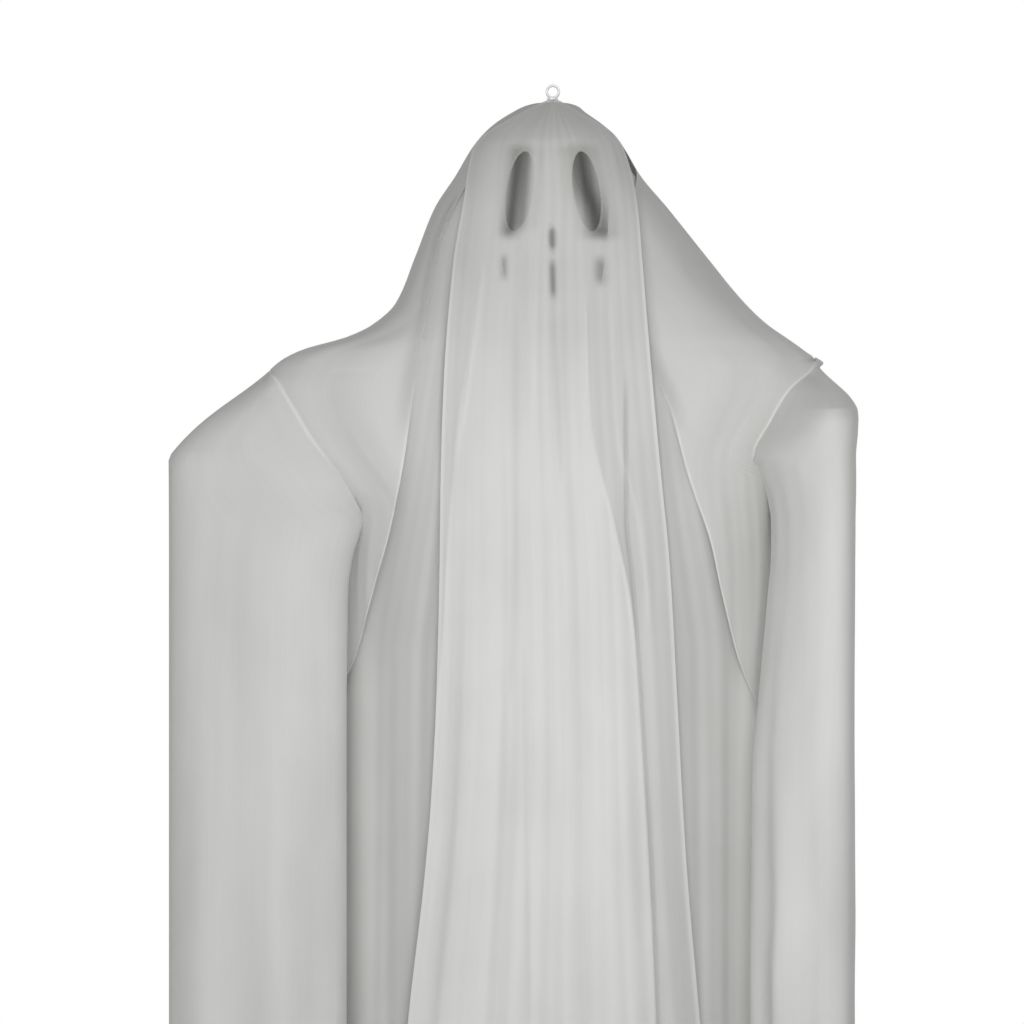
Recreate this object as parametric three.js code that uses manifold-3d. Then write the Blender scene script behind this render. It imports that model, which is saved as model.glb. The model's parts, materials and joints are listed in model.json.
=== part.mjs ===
// Hanging ghost decoration: a moulded head on a swivel eye, a shoulder bar with two arms that swing
// forward, and a gauze robe in seven pieces. Millimetres and degrees, +Z up, the face looks along -Y,
// and the origin is the inside top of the hanging eye.
import * as THREE from 'three';
import { mergeVertices } from 'three/addons/utils/BufferGeometryUtils.js';
import Module from 'manifold-3d';

const wasm = await Module();
wasm.setup();

// Clearances
const GAP = 0.3;                // between pieces that touch or turn in each other
const CLOTH = 1.6;              // thickness of a cloth sheet
const CLOTH_GAP = 0.5;          // between a sheet and what it rests on
const SEAM_GAP = 0.4;           // from the armhole's line to the cloth on each side of it

// Hanging eye and its nut
const EYE_WIRE = 3;
const EYE_BORE = 11;
const COLLAR_RADIUS = 7;
const COLLAR_THICKNESS = 2.4;
const SHANK_RADIUS = 2.5;
const SHANK_LENGTH = 22;
const NUT_RADIUS = 5;
const NUT_HEIGHT = 5;
const WASHER_RADIUS = 7.5;
const WASHER_THICKNESS = 1.2;

// Crown cap and spine
const CAP_FLANGE_RADIUS = 21;
const CAP_FLANGE_THICKNESS = 4;
const CAP_BODY_RADIUS = 17;
const CAP_CEILING = 10;         // solid part above the pocket
const CAP_LENGTH = 40;
const SPINE_RADIUS = 8;
const SPINE_WALL = 1.5;
const PIN_RADIUS = 1.5;

// Head: a two-part moulded shell
const DOME_RADIUS = 82;
const HEAD_HALF_WIDTH = 74;
const HEAD_LENGTH = 246;        // from the dome's top to the end of the neck
const HEAD_DEPTH_RATIO = 1.147; // how much deeper than wide the head is
const SHELL_WALL = 2.4;
const NECK_RADIUS = 34;
const NECK_LENGTH = 16;
const NECK_SCREW_LENGTH = 9.4;
const PLUG_FLANGE = 4;          // below the neck's end
const PLUG_COLLAR_RADIUS = 15;  // it stands on the hub
const PLUG_COLLAR_LENGTH = 1.5;
const SEAM_Y = 8;               // where the face shell meets the rear shell
const LINING_THICKNESS = 1.2;
const LINING_GAP = 2;           // the lining is glued at its edge only
const LINING_EDGE_Y = -24;      // how far back the lining reaches

// Openings of the face, seen from the front: place below the crown, half-sizes and lean
const EYE_HOLE = { x: 39, down: 99, halfWidth: 16, halfHeight: 46, lean: 9 };
const NOSE_HOLE = { down: 153, halfWidth: 6, halfHeight: 11 };
const MOUTH_HOLE = { down: 196, halfWidth: 52, halfHeight: 22 };

// Forms raised on the face or pressed into it: place, spread and height of each
const NOSE = { x: 0, down: 139, wide: 13, high: 26, rise: 7 };
const BROW = { x: 32, down: 44, wide: 26, high: 14, rise: 3 };
const CHEEK = { x: 50, down: 172, wide: 16, high: 26, rise: -4 };

// Hub, shoulder bar and their screws
const HUB_HALF_WIDTH = 30;
const HUB_DEPTH = 14;           // of each half
const HUB_HEIGHT = 46;
const HUB_ABOVE_BAR = 28;
const BAR_RADIUS = 6;
const BAR_BOW = 22;             // rise of the bar's middle over its ends
const BAR_BOW_REACH = 240;      // the bar is straight and level past this
const BAR_HALF_LENGTH = 277;
const SCREW_RADIUS = 2;
const SCREW_HEAD_RADIUS = 4;
const SCREW_HEAD_HEIGHT = 2.4;
const SCREW_NUT_HEIGHT = 3.2;
const SCREW_INSET = 8;          // from the hub's edges to a screw
const HUB_CORNER = 8;

// Elbows
const PIVOT_X = 293;
const CLEVIS_RADIUS = 9;
const CLEVIS_LENGTH = 26;       // of the socket on the bar
const FORK_RADIUS = 10;
const FORK_PLATE = 4;
const KNUCKLE_THICKNESS = 8;
const FORK_WASHER_RADIUS = 9;
const FORK_WASHER_THICKNESS = 1;
const BOLT_RADIUS = 3;
const BOLT_HEAD_RADIUS = 6;
const BOLT_HEAD_HEIGHT = 3.5;
const WING_NUT_HEIGHT = 6;
const WING_SPAN = 26;
const WING_THICKNESS = 2.4;
const THROUGH = 40;             // length of a drill that goes right through

// Forearms
const LUG_REACH = 20;           // from the pivot to where the socket bends down
const SOCKET_RADIUS = 6.5;
const SOCKET_LENGTH = 24;
const ROD_RADIUS = 3;
const ROD_START = 5;            // bottom of the rod's bore, from the bend
const ROD_LENGTH = 162;         // from the bend to the ball's middle
const BALL_RADIUS = 8;
const ARMS = {
  left: { side: -1, swing: 20, droop: 40 },
  right: { side: 1, swing: 80, droop: 20.6 },
};

// Cloth
const HEM_Z = -1515;
const CAPE_HEM = 1455;          // depths below the cape's crown
const FALL_TOP = 88;
const FALL_HEM = 1470;
const FALL_INSET = 5;           // how far behind the cape a side fall hangs
const VEIL_HEM = 1490;
const SLEEVE_HEM_Z = -1400;
const VEIL_LIFT = 2;            // how far the veil stands off the face
const SLEEVE_HEAD = 9.5;        // from the armhole's top down to the sleeve's top edge
// Folds: how many, how deep, and how far below the crown they start and reach their full depth
const VEIL_PLEATS = { count: 5, depth: 9, start: 90, full: 900 };
const CAPE_FOLDS = { count: 11, depth: 9, start: 300, full: 1200 };
const FALL_FOLDS = { depth: 4, start: 150, full: 600 };
const GOWN_FOLDS = { count: 7, depth: 7, start: 382, full: 1182 };
const SLEEVE_FOLDS = { count: 6, depth: 7, start: 432, full: 1082 };
const GOWN_ARMHOLE_X = 180;
const GOWN_ARMHOLE_Z = -470;
const FAR = 600;                // half the size of a cutter that reaches past the whole part

// The cape's surface: depth below its crown, half-width to the left and right, half-depth.
// The right side is drawn straighter from the head to the shoulder than the left.
const CAPE_ROWS = [
  [0, 5, 5, 5],
  [1.5, 20, 18, 19],
  [5, 33, 29, 32],
  [11.5, 46, 37, 43],
  [25, 67, 56, 64],
  [39, 82, 72, 80],
  [53, 93, 82, 90],
  [85, 112, 101, 97],
  [122, 136, 132, 99],
  [177, 158, 176, 99],
  [232, 181, 221, 97],
  [262, 212, 253, 96],
  [287, 291, 284, 95],
  [330, 300, 295, 95],
  [400, 285, 275, 98],
  [468, 232, 232, 101],
  [481, 218, 218, 102],
  [545, 226, 226, 104],
  [700, 234, 231, 108],
  [1100, 236, 232, 120],
  [1500, 238, 234, 130],
];
// Front edges, as depth and distance left and right of the middle
const CAPE_EDGES = [
  [0, 1, 1],
  [40, 9, 9],
  [65, 38, 36],
  [90, 58, 55],
  [122, 82, 78],
  [165, 125, 92],
  [287, 150, 104],
  [350, 161, 131],
  [433, 173, 154],
  [503, 188, 178],
  [557, 204, 190],
  [640, 224, 212],
  [690, 245, 245],
  [1500, 245, 245],
];
const VEIL_EDGES = [
  [0, 5, 5],
  [54, 89, 82],
  [124, 102, 95],
  [189, 113, 100],
  [320, 122, 111],
  [620, 130, 128],
  [1062, 170, 157],
  [1500, 196, 182],
];
// Side falls: depth, inner and outer edge
const FALL_EDGES = [
  [88, 66, 88],
  [165, 62, 138],
  [287, 30, 166],
  [433, 20, 184],
  [700, 16, 186],
  [1500, 16, 190],
];
// The armhole, as half of it lies on either side of the figure: x and z from the shoulder down
const ARMHOLE = [
  [268, -290],
  [268, -372],
  [246, -432],
  [216, -498],
];
// Gown below the shoulder: drop below the bar's ends, half-width, half-depth, down to the hem
const GOWN_ROWS = [
  [19, 196, 38],
  [94, 198, 52],
  [174, 198, 66],
  [374, 200, 74],
  [674, 206, 80],
  [974, 212, 86],
];
const GOWN_HEM = { halfWidth: 218, halfDepth: 92 };
const GOWN_RIDGE_X = [42, 80, 120, 158, 192];
const GOWN_RIDGE_DEPTH = [26, 28, 29, 30, 32];
// Sleeves: z, the loop's end at the body as x outward and y, and the loop's half-thickness
const SLEEVE_ROWS = {
  left: [
    [-299.5, 242, 5, 12],
    [-304, 240, 6, 15],
    [-333, 238, 10, 30],
    [-372, 237, 14, 38],
    [-430, 222, 16, 45],
    [-470, 216, 8, 47],
    [-500, 223, -14, 48],
    [-560, 223, -40, 49],
    [-700, 223, -58, 50],
    [SLEEVE_HEM_Z, 225, -62, 53],
  ],
  right: [
    [-299.5, 246, 2, 12],
    [-310, 258, 24, 24],
    [-326, 268, 36, 34],
    [-345, 266, 42, 39],
    [-372, 260, 46, 46],
    [-430, 252, 46, 46],
    [-470, 248, 38, 44],
    [-500, 246, 26, 44],
    [-560, 241, 2, 43],
    [-700, 235, -24, 43],
    [SLEEVE_HEM_Z, 238, -34, 44],
  ],
};

// Values that follow from the sizes above
const RAD = Math.PI / 180;
const COLLAR_BOTTOM = -(EYE_BORE + EYE_WIRE + 1);
const CAPE_TOP = COLLAR_BOTTOM - 0.4 - CLOTH - CLOTH_GAP;
const CAP_TOP = CAPE_TOP - CLOTH - CLOTH_GAP;
const CAP_BORE = SPINE_RADIUS + GAP;
const POCKET_TOP = CAP_TOP - CAP_CEILING;
const WASHER_Z = POCKET_TOP - GAP - WASHER_THICKNESS / 2;
const NUT_Z = WASHER_Z - WASHER_THICKNESS / 2 - GAP - NUT_HEIGHT / 2;
const SPINE_TOP = NUT_Z - NUT_HEIGHT / 2 - 4;
const DOME_TOP = CAP_TOP - CAP_FLANGE_THICKNESS - 2 * GAP;
const HEAD_BOTTOM = DOME_TOP - HEAD_LENGTH;
const CROWN_HOLE_RADIUS = CAP_BODY_RADIUS + GAP;
const HUB_TOP = HEAD_BOTTOM - PLUG_FLANGE - PLUG_COLLAR_LENGTH - GAP;
const BAR_MIDDLE_Z = HUB_TOP - HUB_ABOVE_BAR;
const BAR_END_Z = BAR_MIDDLE_Z - BAR_BOW;
const SPINE_BOTTOM = BAR_MIDDLE_Z + BAR_RADIUS + 2;
const FORK_GAP = KNUCKLE_THICKNESS / 2 + FORK_WASHER_THICKNESS + 2 * 0.25;
const FORK_TOP = FORK_GAP + FORK_PLATE;
const BOLT_TOP = BAR_END_Z + FORK_TOP + GAP + BOLT_HEAD_HEIGHT;

const MATERIALS = {
  gauze: new THREE.MeshStandardMaterial({ color: 0xdcdad4, roughness: 0.95, metalness: 0 }),
  gown: new THREE.MeshStandardMaterial({ color: 0xb9b8b4, roughness: 0.95, metalness: 0 }),
  mask: new THREE.MeshStandardMaterial({ color: 0xe4e1d8, roughness: 0.55, metalness: 0 }),
  dark: new THREE.MeshStandardMaterial({ color: 0x1c1c1c, roughness: 0.9, metalness: 0 }),
  black: new THREE.MeshStandardMaterial({ color: 0x2b2b2b, roughness: 0.5, metalness: 0 }),
  steel: new THREE.MeshStandardMaterial({ color: 0xa9abad, roughness: 0.35, metalness: 0.9 }),
  tube: new THREE.MeshStandardMaterial({ color: 0xc4c6c8, roughness: 0.4, metalness: 0.8 }),
};

// Curves through rows [x, value, value...]: a cubic whose slopes never overshoot the rows.
function curve(rows, column, x) {
  const step = rows[1][0] > rows[0][0] ? 1 : -1;
  const last = rows.length - 1;
  if ((x - rows[0][0]) * step <= 0) return rows[0][column];
  if ((x - rows[last][0]) * step >= 0) return rows[last][column];
  const i = rows.findIndex((row) => (row[0] - x) * step > 0) - 1;
  const chord = (k) => (rows[k + 1][column] - rows[k][column]) / (rows[k + 1][0] - rows[k][0]);
  const slope = (k) => {
    if (k === 0 || k === last) return chord(Math.min(k, last - 1));
    const [before, after] = [chord(k - 1), chord(k)];
    return before * after <= 0 ? 0 : (2 * before * after) / (before + after);
  };
  const width = rows[i + 1][0] - rows[i][0];
  const t = (x - rows[i][0]) / width;
  const [p, q] = [rows[i][column], rows[i + 1][column]];
  return (1 + 2 * t) * (1 - t) ** 2 * p + t * (1 - t) ** 2 * width * slope(i)
    + t * t * (3 - 2 * t) * q + t * t * (t - 1) * width * slope(i + 1);
}

const ramp = (x, from, to) => THREE.MathUtils.smoothstep((x - from) / (to - from), 0, 1);

// Solids and cuts
function shared(geometry) {
  const bare = geometry.clone();
  bare.deleteAttribute('normal');
  bare.deleteAttribute('uv');
  const merged = mergeVertices(bare);
  const position = merged.getAttribute('position');
  const index = merged.getIndex().array;
  const triangles = [];
  for (let i = 0; i < index.length; i += 3) {
    const [a, b, c] = [index[i], index[i + 1], index[i + 2]];
    if (a !== b && b !== c && c !== a) triangles.push(a, b, c);
  }
  return { position, triangles };
}

function signedVolume(position, triangles) {
  const [p, q, r] = [new THREE.Vector3(), new THREE.Vector3(), new THREE.Vector3()];
  let volume = 0;
  for (let i = 0; i < triangles.length; i += 3) {
    p.fromBufferAttribute(position, triangles[i]);
    q.fromBufferAttribute(position, triangles[i + 1]);
    r.fromBufferAttribute(position, triangles[i + 2]);
    volume += p.dot(q.cross(r)) / 6;
  }
  return volume;
}

function toSolid(geometry) {
  const { position, triangles } = shared(geometry);
  if (signedVolume(position, triangles) < 0) triangles.reverse();
  return new wasm.Manifold(new wasm.Mesh({
    numProp: 3,
    vertProperties: new Float32Array(position.array),
    triVerts: new Uint32Array(triangles),
  }));
}

function fromSolid(solid) {
  const mesh = solid.getMesh();
  const geometry = new THREE.BufferGeometry();
  geometry.setAttribute('position', new THREE.BufferAttribute(new Float32Array(mesh.vertProperties), 3));
  geometry.setIndex(new THREE.BufferAttribute(new Uint32Array(mesh.triVerts), 1));
  geometry.computeVertexNormals();
  return geometry;
}

const join = (...geometries) => fromSolid(geometries.map(toSolid).reduce((a, b) => a.add(b)));

function cut(geometry, ...tools) {
  return fromSolid(tools.map(toSolid).reduce((a, b) => a.subtract(b), toSolid(geometry)));
}

// Simple shapes
const alongZ = (radius, length, sides = 16) =>
  new THREE.CylinderGeometry(radius, radius, length, sides).rotateX(Math.PI / 2);
const alongX = (radius, length, sides = 14) =>
  new THREE.CylinderGeometry(radius, radius, length, sides).rotateZ(Math.PI / 2);
const alongY = (radius, length, sides = 12) => new THREE.CylinderGeometry(radius, radius, length, sides);
const box = (x0, x1, y0, y1, z0, z1) => new THREE.BoxGeometry(x1 - x0, y1 - y0, z1 - z0)
  .translate((x0 + x1) / 2, (y0 + y1) / 2, (z0 + z1) / 2);

function lathe(profile, sides) {
  return new THREE.LatheGeometry(profile.map(([r, z]) => new THREE.Vector2(r, z)), sides)
    .rotateX(Math.PI / 2);
}

const ring = (outer, inner, height, sides = 14) => lathe([
  [inner, -height / 2], [outer, -height / 2], [outer, height / 2], [inner, height / 2], [inner, -height / 2],
], sides);

const hexNut = (radius, bore, height) => cut(alongZ(radius, height, 6), alongZ(bore, 2 * height, 12));

// A flat outline in x and z, as thick as its y range.
function plate(shape, y0, y1, curveSegments = 12) {
  return new THREE.ExtrudeGeometry(shape, { depth: y1 - y0, bevelEnabled: false, curveSegments })
    .rotateX(Math.PI / 2)
    .translate(0, y1, 0);
}

function part(name, geometry, material, x = 0, y = 0, z = 0) {
  const mesh = new THREE.Mesh(geometry, material);
  mesh.name = name;
  mesh.position.set(x, y, z);
  return mesh;
}

// Hanging eye, with its washer and lock nut under the crown cap
function makeHanger() {
  const wire = EYE_WIRE / 2;
  const eye = new THREE.TorusGeometry(EYE_BORE / 2 + wire, wire, 6, 20)
    .rotateX(Math.PI / 2)
    .translate(0, 0, -EYE_BORE / 2);
  const collar = alongZ(COLLAR_RADIUS, COLLAR_THICKNESS)
    .translate(0, 0, COLLAR_BOTTOM + COLLAR_THICKNESS / 2);
  const shank = alongZ(SHANK_RADIUS, SHANK_LENGTH + 1, 16)
    .translate(0, 0, COLLAR_BOTTOM + 1 - (SHANK_LENGTH + 1) / 2);
  const group = new THREE.Group();
  group.add(
    part('swivel_eye', join(eye, collar, shank), MATERIALS.steel),
    part('swivel_washer', ring(WASHER_RADIUS, SHANK_RADIUS + GAP, WASHER_THICKNESS), MATERIALS.steel,
      0, 0, WASHER_Z),
    part('swivel_lock_nut', hexNut(NUT_RADIUS, SHANK_RADIUS + GAP, NUT_HEIGHT), MATERIALS.steel,
      0, 0, NUT_Z),
  );
  return group;
}

// Crown cap: its flange follows the dome, and its bore holds the swivel's nut and the spine's top.
function makeCrownCap() {
  const drop = (r) => (r * r) / (2 * DOME_RADIUS);
  const rim = [CAP_BODY_RADIUS, (CAP_BODY_RADIUS + CAP_FLANGE_RADIUS) / 2, CAP_FLANGE_RADIUS];
  const top = [0.5, 1].map((share) => share * CAP_FLANGE_RADIUS);
  const bottom = CAP_TOP - CAP_LENGTH;
  const bore = SHANK_RADIUS + GAP;
  const cap = lathe([
    [bore, CAP_TOP - drop(bore)],
    ...top.map((r) => [r, CAP_TOP - drop(r)]),
    ...rim.reverse().map((r) => [r, CAP_TOP - CAP_FLANGE_THICKNESS - drop(r)]),
    [CAP_BODY_RADIUS, bottom],
    [CAP_BORE, bottom],
    [CAP_BORE, POCKET_TOP],
    [bore, POCKET_TOP],
    [bore, CAP_TOP - drop(bore)],
  ], 20);
  const pinZ = (SPINE_TOP + bottom) / 2;
  const pin = alongX(PIN_RADIUS, 2 * CAP_BODY_RADIUS - 1, 10);
  const hole = alongX(PIN_RADIUS + GAP, 4 * CAP_BODY_RADIUS, 10).translate(0, 0, pinZ);
  return [
    part('crown_cap', cut(cap, hole), MATERIALS.black),
    part('crown_pin', pin, MATERIALS.steel, 0, 0, pinZ),
    hole,
  ];
}

// Head: a revolved profile, made deeper than wide, with a nose, brow and cheeks pushed into its front.
function onDome(share) {
  const drop = share * HEAD_LENGTH;
  return [share, Math.sqrt(2 * DOME_RADIUS * drop - drop * drop)];
}

const HEAD_PROFILE = [
  [0, CROWN_HOLE_RADIUS],
  ...[0.018, 0.055, 0.11].map(onDome),
  [0.2, HEAD_HALF_WIDTH - 3.5],
  [0.32, HEAD_HALF_WIDTH],
  [0.5, HEAD_HALF_WIDTH - 1],
  [0.66, HEAD_HALF_WIDTH - 5],
  [0.78, HEAD_HALF_WIDTH - 13],
  [0.87, HEAD_HALF_WIDTH - 26],
  [0.932, NECK_RADIUS],
  [1, NECK_RADIUS],
];

function headSkin(geometry) {
  const position = geometry.getAttribute('position');
  const forms = [NOSE, ...[BROW, CHEEK].flatMap((form) => [form, { ...form, x: -form.x }])];
  for (let i = 0; i < position.count; i += 1) {
    const [x, y, z] = [position.getX(i), position.getY(i), position.getZ(i)];
    const down = DOME_TOP - z;
    const towardsNeck = ramp(down, NOSE_HOLE.down, HEAD_LENGTH - NECK_LENGTH);
    const deeper = ramp(down, 0, HEAD_LENGTH / 4) * (1 - towardsNeck);
    const front = forms.reduce((sum, form) => {
      const [across, along] = [(x - form.x) / form.wide, (down - form.down) / form.high];
      return sum + form.rise * Math.exp(-across * across - along * along);
    }, 0);
    position.setY(i, y * (1 + (HEAD_DEPTH_RATIO - 1) * deeper) - front * ramp(-y, 0, HEAD_HALF_WIDTH / 2));
  }
  return geometry;
}

// Two skins of the head, each an inset from its outside, between two shares of its length
function headShell(near, deep, from, to) {
  const drop = CROWN_HOLE_RADIUS ** 2 / (2 * DOME_RADIUS);
  const profile = HEAD_PROFILE.map(([share, r]) => [r, DOME_TOP - share * HEAD_LENGTH - (share ? 0 : drop)]);
  const last = profile.length - 1;
  const skin = (inset) => profile.map(([r, z], i) => {
    const [a, b] = [profile[Math.max(i - 1, 0)], profile[Math.min(i + 1, last)]];
    const length = Math.hypot(b[0] - a[0], b[1] - a[1]);
    const [dr, dz] = [((b[1] - a[1]) / length) * inset, (-(b[0] - a[0]) / length) * inset];
    return [i === 0 ? r : r + dr, i === last ? z : z + dz];
  }).filter((point, i) => HEAD_PROFILE[i][0] >= from && HEAD_PROFILE[i][0] <= to);
  const [outer, inner] = [skin(near), skin(deep)];
  return headSkin(lathe([...outer, ...inner.reverse(), outer[0]], 24));
}

const faceCutter = (shape, curveSegments) => plate(shape, -2 * HEAD_HALF_WIDTH, -2 * SEAM_Y, curveSegments);

function ovalHole({ x = 0, down, halfWidth, halfHeight, lean = 0 }) {
  const shape = new THREE.Shape();
  shape.absellipse(0, 0, halfWidth, halfHeight, 0, 2 * Math.PI, false, 0);
  return faceCutter(shape, 9)
    .rotateY(-lean * Math.sign(x) * RAD)
    .translate(x, 0, DOME_TOP - down);
}

function noseHole({ down, halfWidth, halfHeight }) {
  const shape = new THREE.Shape();
  shape.moveTo(0, halfHeight);
  shape.quadraticCurveTo(halfWidth * 0.6, 0, halfWidth, -halfHeight * 0.7);
  shape.quadraticCurveTo(0, -halfHeight * 1.4, -halfWidth, -halfHeight * 0.7);
  shape.quadraticCurveTo(-halfWidth * 0.6, 0, 0, halfHeight);
  return faceCutter(shape, 3).translate(0, 0, DOME_TOP - down);
}

function makeHead() {
  const shell = headShell(0, SHELL_WALL, 0, 1);
  const openings = [
    ovalHole({ ...EYE_HOLE, x: -EYE_HOLE.x }),
    ovalHole(EYE_HOLE),
    noseHole(NOSE_HOLE),
    ovalHole(MOUTH_HOLE),
  ];
  const screwZ = HEAD_BOTTOM + NECK_LENGTH / 2;
  const screwHole = alongY(SCREW_RADIUS + GAP, 3 * NECK_RADIUS, 12).translate(0, 0, screwZ);
  const liningInset = SHELL_WALL + LINING_GAP;
  const lining = headShell(liningInset, liningInset + LINING_THICKNESS, 0.1, 0.9);
  const plugTop = HEAD_BOTTOM + NECK_LENGTH - GAP;
  const plugInside = NECK_RADIUS - SHELL_WALL - 2 * GAP;
  const flangeBottom = HEAD_BOTTOM - PLUG_FLANGE;
  const bore = SPINE_RADIUS + GAP;
  const plug = lathe([
    [bore, HUB_TOP + GAP], [PLUG_COLLAR_RADIUS, HUB_TOP + GAP], [PLUG_COLLAR_RADIUS, flangeBottom],
    [NECK_RADIUS, flangeBottom], [NECK_RADIUS, HEAD_BOTTOM - GAP], [plugInside, HEAD_BOTTOM - GAP],
    [plugInside, plugTop], [bore, plugTop], [bore, HUB_TOP + GAP],
  ], 24);
  const pocketLength = NECK_SCREW_LENGTH + GAP;
  const pocket = (side) => alongY(SCREW_RADIUS + GAP, pocketLength, 12)
    .translate(0, side * (NECK_RADIUS + GAP - pocketLength / 2), screwZ);
  const inHead = SCREW_HEAD_HEIGHT / 2;
  const screw = (side) => join(
    alongY(SCREW_HEAD_RADIUS, SCREW_HEAD_HEIGHT, 16).translate(0, side * (NECK_RADIUS + GAP + inHead), 0),
    alongY(SCREW_RADIUS, NECK_SCREW_LENGTH + inHead, 10)
      .translate(0, side * (NECK_RADIUS + GAP - (NECK_SCREW_LENGTH - inHead) / 2), 0),
  );
  return [
    part('face_shell', cut(shell, box(-FAR, FAR, SEAM_Y - GAP / 2, FAR, -FAR, FAR), screwHole, ...openings),
      MATERIALS.mask),
    part('rear_head_shell', cut(shell, box(-FAR, FAR, -FAR, SEAM_Y + GAP / 2, -FAR, FAR), screwHole),
      MATERIALS.mask),
    part('face_lining', cut(lining, box(-FAR, FAR, LINING_EDGE_Y, FAR, -FAR, FAR)), MATERIALS.dark),
    part('neck_plug', cut(plug, pocket(-1), pocket(1)), MATERIALS.black),
    part('neck_screw_front', screw(-1), MATERIALS.steel, 0, 0, screwZ),
    part('neck_screw_back', screw(1), MATERIALS.steel, 0, 0, screwZ),
  ];
}

// The bar's middle line: raised by half a cosine wave between its level ends.
function barZ(x) {
  const reach = Math.min(Math.abs(x), BAR_BOW_REACH) / BAR_BOW_REACH;
  return BAR_END_Z + (BAR_BOW / 2) * (1 + Math.cos(Math.PI * reach));
}

function makeBar(radius, halfLength) {
  const points = [];
  const steps = 9;
  for (let i = -steps; i <= steps; i += 1) {
    const x = Math.abs(i) === steps ? Math.sign(i) * halfLength : (i / (steps - 1)) * BAR_BOW_REACH;
    points.push(new THREE.Vector3(x, 0, barZ(x)));
  }
  const path = new THREE.CurvePath();
  points.slice(1).forEach((point, i) => path.add(new THREE.LineCurve3(points[i], point)));
  const section = new THREE.Shape();
  section.absarc(0, 0, radius, 0, 2 * Math.PI);
  return new THREE.ExtrudeGeometry(section, { steps: 2 * steps, curveSegments: 5, extrudePath: path });
}

function makeSpineAndHub(pinHole) {
  const tubeLength = SPINE_TOP - SPINE_BOTTOM;
  const tubeZ = (SPINE_TOP + SPINE_BOTTOM) / 2;
  const tube = ring(SPINE_RADIUS, SPINE_RADIUS - SPINE_WALL, tubeLength, 16).translate(0, 0, tubeZ);
  const hubZ = HUB_TOP - HUB_HEIGHT / 2;
  const corner = HUB_CORNER;
  const [w, h] = [HUB_HALF_WIDTH, HUB_HEIGHT / 2];
  const outline = new THREE.Shape();
  outline.moveTo(-w + corner, -h);
  outline.absarc(w - corner, -h + corner, corner, -Math.PI / 2, 0);
  outline.absarc(w - corner, h - corner, corner, 0, Math.PI / 2);
  outline.absarc(-w + corner, h - corner, corner, Math.PI / 2, Math.PI);
  outline.absarc(-w + corner, -h + corner, corner, Math.PI, 1.5 * Math.PI);
  const spineGroove = alongZ(SPINE_RADIUS + 2 * GAP, HUB_HEIGHT, 16)
    .translate(0, 0, SPINE_BOTTOM - GAP + HUB_HEIGHT / 2);
  const barGroove = makeBar(BAR_RADIUS + GAP, BAR_HALF_LENGTH);
  const places = [[-1, 1], [1, 1], [-1, -1], [1, -1]].map(([i, k]) => [
    i * (w - SCREW_INSET), hubZ + k * (h - SCREW_INSET + 2),
  ]);
  const holes = places.map(([x, z]) => alongY(SCREW_RADIUS + GAP, 4 * HUB_DEPTH, 10).translate(x, 0, z));
  const half = (y0, y1) => cut(plate(outline, y0, y1, 3).translate(0, 0, hubZ), spineGroove, barGroove,
    ...holes);
  const headY = -HUB_DEPTH - GAP - SCREW_HEAD_HEIGHT / 2;
  const tipY = HUB_DEPTH + SCREW_NUT_HEIGHT + SCREW_RADIUS / 2;
  const screw = join(
    alongY(SCREW_HEAD_RADIUS, SCREW_HEAD_HEIGHT, 12).translate(0, headY, 0),
    alongY(SCREW_RADIUS, tipY - headY, 8).translate(0, (headY + tipY) / 2, 0),
  );
  const nut = hexNut(SCREW_HEAD_RADIUS, SCREW_RADIUS + GAP, SCREW_NUT_HEIGHT).rotateX(Math.PI / 2);
  const clevisPinHole = (side) => alongZ(PIN_RADIUS + GAP, THROUGH, 10)
    .translate(side * clevisPinX(), 0, BAR_END_Z);
  const pieces = [
    part('spine_tube', cut(tube, pinHole), MATERIALS.tube),
    part('hub_front', half(-HUB_DEPTH, -GAP / 2), MATERIALS.black),
    part('hub_back', half(GAP / 2, HUB_DEPTH), MATERIALS.black),
    part('shoulder_bar', cut(makeBar(BAR_RADIUS, BAR_HALF_LENGTH), clevisPinHole(-1), clevisPinHole(1)),
      MATERIALS.tube),
  ];
  places.forEach(([x, z], i) => pieces.push(
    part(`hub_screw_${i + 1}`, screw, MATERIALS.steel, x, 0, z),
    part(`hub_nut_${i + 1}`, nut, MATERIALS.steel, x, HUB_DEPTH + GAP + SCREW_NUT_HEIGHT / 2, z),
  ));
  return pieces;
}

// Elbow: a clevis pinned on the bar's end, and its bolt, washers and wing nut. Local +X points outward.
const clevisStart = () => PIVOT_X - FORK_RADIUS - 2 - CLEVIS_LENGTH;
const clevisPinX = () => (clevisStart() + BAR_HALF_LENGTH) / 2;

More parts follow.
